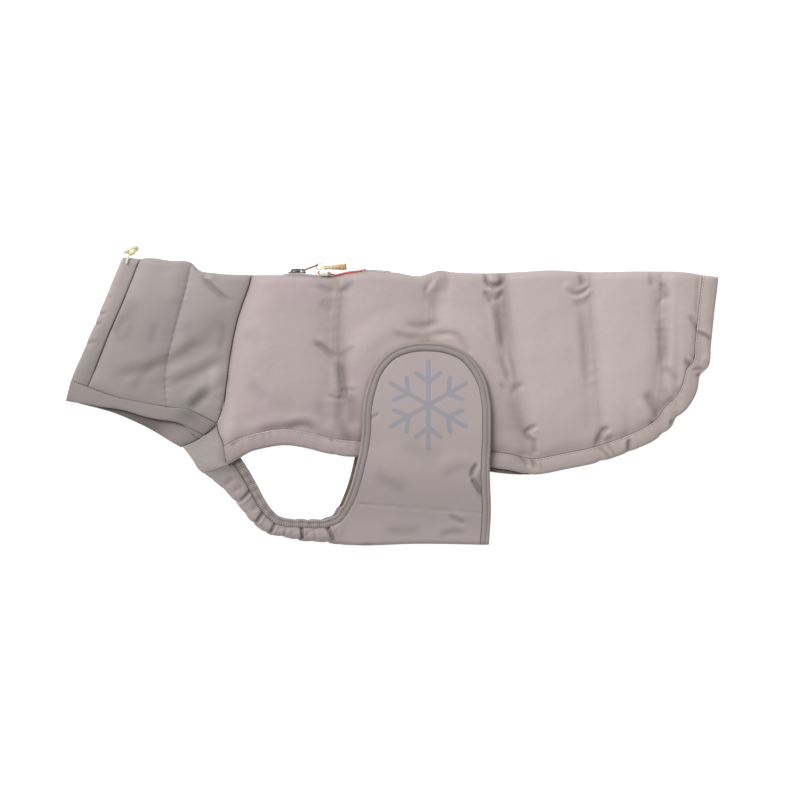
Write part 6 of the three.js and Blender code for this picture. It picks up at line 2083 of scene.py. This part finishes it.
@dataclass
class Zip:
    """The leash opening's zip on the spine: teeth along the crest, with the CAD slider and tab."""

    shell: Shell
    finishes: Finishes
    start: float = 27.0
    end: float = 119.0
    lift: float = 0.3
    thickness: float = 0.6
    tooth_pitch: float = 1.5

    def spine_fold(self, x: float, degrees: float, away: float) -> Array:
        """A point beside the spine's fold."""
        shell = self.shell
        s = np.array([x / shell.spine_end])
        reach = np.linalg.norm(shell.plan(s, np.zeros(1)) - shell.plan(s, np.ones(1)), axis=-1)
        place = shell.plan(s, shell.fold / reach)
        levels = shell.base_levels(place, s)[0]
        edge = -float(lookup(shell.cut.spine_rows, 1, x))
        return beside_fold(x, edge, shell.fold, float(levels.top[0]), float(levels.lower_under[0]), degrees, away)

    def build(self) -> None:
        """Makes the teeth and dresses the slider and the tab."""
        places = np.arange(self.start + 0.8, self.end - 0.6, self.tooth_pitch / 2)
        crest = np.array([self.spine_fold(float(x), 90, 0) for x in np.linspace(self.start, self.end, 40)])
        height = np.interp(places, crest[:, 0], crest[:, 1]) + self.lift
        level = np.interp(places, crest[:, 0], crest[:, 2])
        side = np.where(np.arange(len(places)) % 2 == 0, 1.0, -1.0)
        corners = np.array([[x, y, z] for x in (-0.36, 0.36) for y in (0.0, 0.58) for z in (-1.25, 0.55)])
        corners[corners[:, 1] > 0.3] *= [0.75, 1, 0.9]
        centre = np.stack([places, height, level], axis=-1)
        points = centre[:, None] + corners[None] * np.stack([np.ones_like(side), np.ones_like(side), side], axis=-1)[:, None]
        box = np.array([[0, 1, 3, 2], [4, 6, 7, 5], [0, 4, 5, 1], [2, 3, 7, 6], [0, 2, 6, 4], [1, 5, 7, 3]])
        faces = box[None] + 8 * np.arange(len(places))[:, None, None]
        faces = np.where((side < 0)[:, None, None], faces[..., ::-1], faces).reshape(-1, 4)
        tape_route = np.stack([crest[:, 0], crest[:, 1] + self.lift, crest[:, 2]], axis=-1)
        shape = np.array([[0.0, -2.2], [0.22, -2.1], [0.22, 2.1], [0.0, 2.2]])
        section = tape_route[:, None] + np.stack([np.zeros(4), shape[:, 0], shape[:, 1]], axis=-1)[None]
        index = np.arange(section.shape[0] * 4).reshape(-1, 4) + len(places) * 8
        closed = np.concatenate([index, index[:, :1]], axis=1)
        ends = np.array([closed[0, :4][::-1], closed[-1, :4]])
        everything = np.concatenate([points.reshape(-1, 3), section.reshape(-1, 3)])
        teeth = make_mesh("zip_teeth", everything, np.concatenate([faces, quads_between(closed)[:, ::-1], ends]))
        teeth.data.shade_flat()
        finish_piece(teeth, "coat", "zip_metal", self.finishes.teeth, "zip_chain")
        share = np.linspace(-0.98, 0.98, 14)
        middle = self.spine_fold(39.0, 90, 0) + [0, self.lift + self.thickness + 2.5, 0]
        cap = tube(middle + share[:, None] * [3.1, 0, 0], 0.95 * np.sqrt(1 - share**6), 12)
        finish_piece(make_mesh("slider_cap", *cap), "coat", "zip_metal", self.finishes.metal)
        for node in ("zip_slider", "pull_tab"):
            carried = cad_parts[node]
            carried.data.materials.clear()
            carried.data.materials.append(self.finishes.metal)


@dataclass
class Pull:
    """What hangs on the zip's tab: a cord loop, a yarn tassel, and a red cord through a bead."""

    zip: Zip
    finishes: Finishes
    tilt: float = 21.0
    tab_length: float = 15.0
    eye_inset: float = 2.2
    loop_radius: float = 2.9
    loop_wire: float = 0.5
    strands: int = 150
    tassel_reach: float = 18.0
    cord_radius: float = 0.6
    bead_start: float = 58.8
    bead_end: float = 67.6
    bead_radius: float = 2.0
    bead_bore: float = 1.1
    bead_rise: float = -1.8

    def __post_init__(self) -> None:
        """Finds the loop's and the bead's places from the slider's pivot."""
        crest = self.zip.spine_fold(39.0, 90, 0)
        base = crest[1] + self.zip.lift + self.zip.thickness + self.zip.shell.cut.seam_gap
        pivot = np.array([43.2, base + 1.3 + 0.9, crest[2]])
        angle = math.radians(self.tilt)
        eye = pivot + (self.tab_length - self.eye_inset) * np.array([math.cos(angle), math.sin(angle), 0])
        self.loop_centre = eye + [self.loop_radius, -0.4, 0]
        self.bead_height = float(self.zip.spine_fold(63.0, 60, self.bead_radius + 0.4)[2]) + 0.5

    def cord_route(self) -> Array:
        """The red cord's knots, as in the CAD part: from the loop, through the bead, along the spine's shoulder."""

        def beside(x: float) -> Array:
            """A place on the spine's shoulder."""
            return self.zip.spine_fold(x, 60, self.cord_radius + 0.3)

        x, y, z = self.loop_centre
        tip = beside(90)
        return np.array([
            [x - 0.4, y - self.loop_radius - self.loop_wire - 1.1, z + 0.6],
            [x - 1, -0.4, (z + self.bead_height) / 2],
            [self.bead_start - 0.6, self.bead_rise, self.bead_height],
            [self.bead_start + 1.5, self.bead_rise, self.bead_height],
            [self.bead_end, self.bead_rise, self.bead_height],
            beside(73), beside(78), beside(84), tip,
            [98, tip[1] + 1.9, tip[2] + 0.2],
        ])  # fmt: skip

    def build_cord(self) -> None:
        """The red cord and its bead."""
        knots = self.cord_route()
        reach = np.concatenate([[0], np.cumsum(np.linalg.norm(np.diff(knots, axis=0), axis=1))])
        path = smooth(reach, knots, np.linspace(0, reach[-1], 90))
        cord = make_mesh("pull_cord_braided", *tube(path, self.cord_radius, 12))
        finish_piece(cord, "pull", "cord_red", self.finishes.red, "pull_cord")
        bead = self._bead()
        in_frame = (path + PATTERN_TO_FRAME) * MM

    def _bead(self) -> bpy.types.Object:
        """A turned bead: its profile is a superellipse along its length with a bore through it."""
        length = self.bead_end - self.bead_start
        turn = np.linspace(0, 2 * math.pi, 40, endpoint=False)
        middle = (self.bead_radius + self.bead_bore) / 2
        half = (self.bead_radius - self.bead_bore) / 2
        profile_r = middle + half * np.sign(np.sin(turn)) * np.abs(np.sin(turn)) ** 0.55
        profile_x = length / 2 + length / 2 * np.sign(np.cos(turn)) * np.abs(np.cos(turn)) ** 0.35
        angle = np.linspace(0, 2 * math.pi, 28, endpoint=False)
        ring = np.stack(
            [
                np.broadcast_to(profile_x[:, None], (40, 28)) + self.bead_start,
                profile_r[:, None] * np.cos(angle)[None] + self.bead_rise,
                profile_r[:, None] * np.sin(angle)[None] + self.bead_height,
            ],
            axis=-1,
        )
        index = np.arange(40 * 28).reshape(40, 28)
        index = np.concatenate([index, index[:1]])
        index = np.concatenate([index, index[:, :1]], axis=1)
        marks = {"along": np.repeat(profile_x, 28)}
        bead = make_mesh("pull_bead_turned", ring.reshape(-1, 3), quads_between(index), marks)
        return finish_piece(bead, "pull", "bead_plastic", self.finishes.bead, "pull_bead")

    def build(self) -> None:
        """The loop and the tassel."""
        turn = np.linspace(0, 2 * math.pi, 49)
        ring = np.stack([np.cos(turn), np.sin(turn), 0 * turn], axis=-1) * self.loop_radius
        parts = []
        for phase in (0, math.pi):
            twist = 7 * turn + phase
            offset = 0.24 * np.stack([np.cos(turn) * np.cos(twist), np.sin(turn) * np.cos(twist), np.sin(twist)], axis=-1)
            parts.append(tube(ring + offset + self.loop_centre, 0.27, 8))
        loop = make_mesh("pull_loop_twisted", *merged(parts))
        finish_piece(loop, "pull", "cord_cream", self.finishes.cream, "pull_loop")
        self._tassel()

    def _tassel(self) -> None:
        """A wrapped head and a bunch of strands that sinks to the table."""
        rng = np.random.default_rng(7)
        head = self.loop_centre + [4.6, -1, 0]
        share = np.linspace(0, 1, 9)
        bulb = head + np.stack([(share - 0.45) * 4.4, 0 * share, 0 * share], axis=-1)
        parts = [tube(bulb, np.maximum(0.35, 1.75 * np.sin(np.pi * np.clip(share, 0.04, 0.96)) ** 0.55), 14)]
        for wrap in np.linspace(-0.3, 1.2, 5):
            angle = np.linspace(0, 2 * math.pi, 25)
            band = head + np.stack([wrap + 0.3 * angle / (2 * math.pi), 1.72 * np.cos(angle), 1.72 * np.sin(angle)], axis=-1)
            parts.append(tube(band, 0.2, 5))
        for i in range(self.strands):
            spot = i * 2.399963
            out = math.sqrt((i + 0.5) / self.strands)
            aside = np.array([0, math.cos(spot), math.sin(spot)]) * out
            far = self.tassel_reach * (1.0 + rng.uniform(-0.025, 0.025))
            sway = rng.normal(0, 0.25, 3) * [0.3, 1, 1]
            knots = np.array([
                head + [0.4, 0, 0] + aside * 0.8,
                head + [far * 0.35, 0.2, -0.8] + aside * 1.7 + sway * 0.3,
                head + [far * 0.7, 0.4, -2.2] + aside * [0, 2.2, 2] + sway,
                head + [far, 0.7, -3.4] + aside * [0, 2.5, 2] + sway,
            ])  # fmt: skip
            strand = smooth(np.arange(4), knots, np.linspace(0, 3, 8))
            parts.append(tube(strand, np.linspace(0.24, 0.26, 8), 4))
        tassel = make_mesh("pull_tassel_yarn", *merged(parts))
        finish_piece(tassel, "pull", "tassel_yarn", self.finishes.tassel, "pull_tassel")


@dataclass
class Stitching:
    """Rows of sewing thread on the seams: many small stitches in one mesh."""

    shell: Shell
    belly: Belly
    finishes: Finishes
    pitch: float = 2.9
    length: float = 2.1
    thread: float = 0.24

    def build(self) -> None:
        """The hem's row and the binding's row."""
        rows = [self._hem_row(), self._binding_row()]
        points, faces = self._stitches(np.concatenate([row[0] for row in rows]), np.concatenate([row[1] for row in rows]))
        marks = {"along": points[:, 0], "around": points[:, 1] * 0}
        sewn = make_mesh("seam_stitches", points, faces, marks)
        finish_piece(sewn, "coat", "shell_cloth", self.finishes.thread)

    def _hem_row(self) -> tuple[Array, Array]:
        """Stitches just outside the hem seam."""
        return self._along(self.shell.on_hem(np.linspace(0.004, 0.996, 900), 0.085))

    def _binding_row(self) -> tuple[Array, Array]:
        """Stitches in the binding's groove."""
        cut = self.belly.cut
        share = np.linspace(0.01, 0.985, 900)
        place = cut.belly_seam(share, cut.binding_width * 0.4)
        top = self.belly.base_levels(place).top + 0.32
        on_strap = 1 - ease(60, 86, place[:, 0])
        top = top + 0.4 * np.sin(share * cut.belly_edge.length * 2 * math.pi / 8.3 + 2 * mottle(place, 15, 91)) * on_strap
        return self._along(np.concatenate([place, top[:, None]], axis=-1))

    def _along(self, line: Array) -> tuple[Array, Array]:
        """Stitch centres and directions at even steps along a line."""
        reach = np.concatenate([[0], np.cumsum(np.linalg.norm(np.diff(line, axis=0), axis=1))])
        at = np.arange(1.0, reach[-1] - 1, self.pitch)
        centre = np.stack([np.interp(at, reach, line[:, k]) for k in range(3)], axis=-1)
        ahead = np.stack([np.interp(at + 1, reach, line[:, k]) for k in range(3)], axis=-1)
        run = ahead - centre
        return centre, run / np.linalg.norm(run, axis=1, keepdims=True)

    def _stitches(self, centre: Array, run: Array) -> tuple[Array, Array]:
        """One spindle for each stitch: two rings of four corners and two tips."""
        up = np.array([0.0, 0.0, 1.0])
        across = np.cross(run, up)
        across /= np.linalg.norm(across, axis=1, keepdims=True)
        lifted = np.cross(across, run)
        half = self.length / 2
        ring = np.array([[0, 1], [1, 0], [0, -1], [-1, 0]]) * self.thread
        template = np.array([[-half, 0, -0.15], *[[-half * 0.6, a, b] for a, b in ring], *[[half * 0.6, a, b] for a, b in ring], [half, 0, -0.15]])
        basis = np.stack([run, across, lifted], axis=1)
        points = centre[:, None] + np.einsum("kc,ncx->nkx", template, basis)
        one = [[0, 2, 1], [0, 3, 2], [0, 4, 3], [0, 1, 4]]
        for k in range(4):
            a, b = 1 + k, 1 + (k + 1) % 4
            one += [[a, b, b + 4], [a, b + 4, a + 4]]
        one += [[9, 5, 6], [9, 6, 7], [9, 7, 8], [9, 8, 5]]
        faces = np.array(one)[None] + 10 * np.arange(len(centre))[:, None, None]
        return points.reshape(-1, 3), faces.reshape(-1, 3)


def write_sizes() -> None:
    """Updates the view layer."""
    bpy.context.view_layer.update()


def main() -> None:
    """Builds the studio, then the cords, then every piece of cloth and the small parts."""
    logging.basicConfig(level=logging.INFO, format="%(name)s: %(message)s")
    Studio().build()
    cut, finishes = Outlines(), Finishes()
    shell = Shell(cut, finishes)
    zip_parts = Zip(shell, finishes)
    pull = Pull(zip_parts, finishes)
    pull.build_cord()
    shell.build()
    Collar(cut, finishes).build()
    ChestKnit(cut, finishes).build()
    belly = Belly(cut, finishes)
    belly.build()
    zip_parts.build()
    pull.build()
    Stitching(shell, belly, finishes).build()
    write_sizes()


if __name__ == "__main__":
    main()
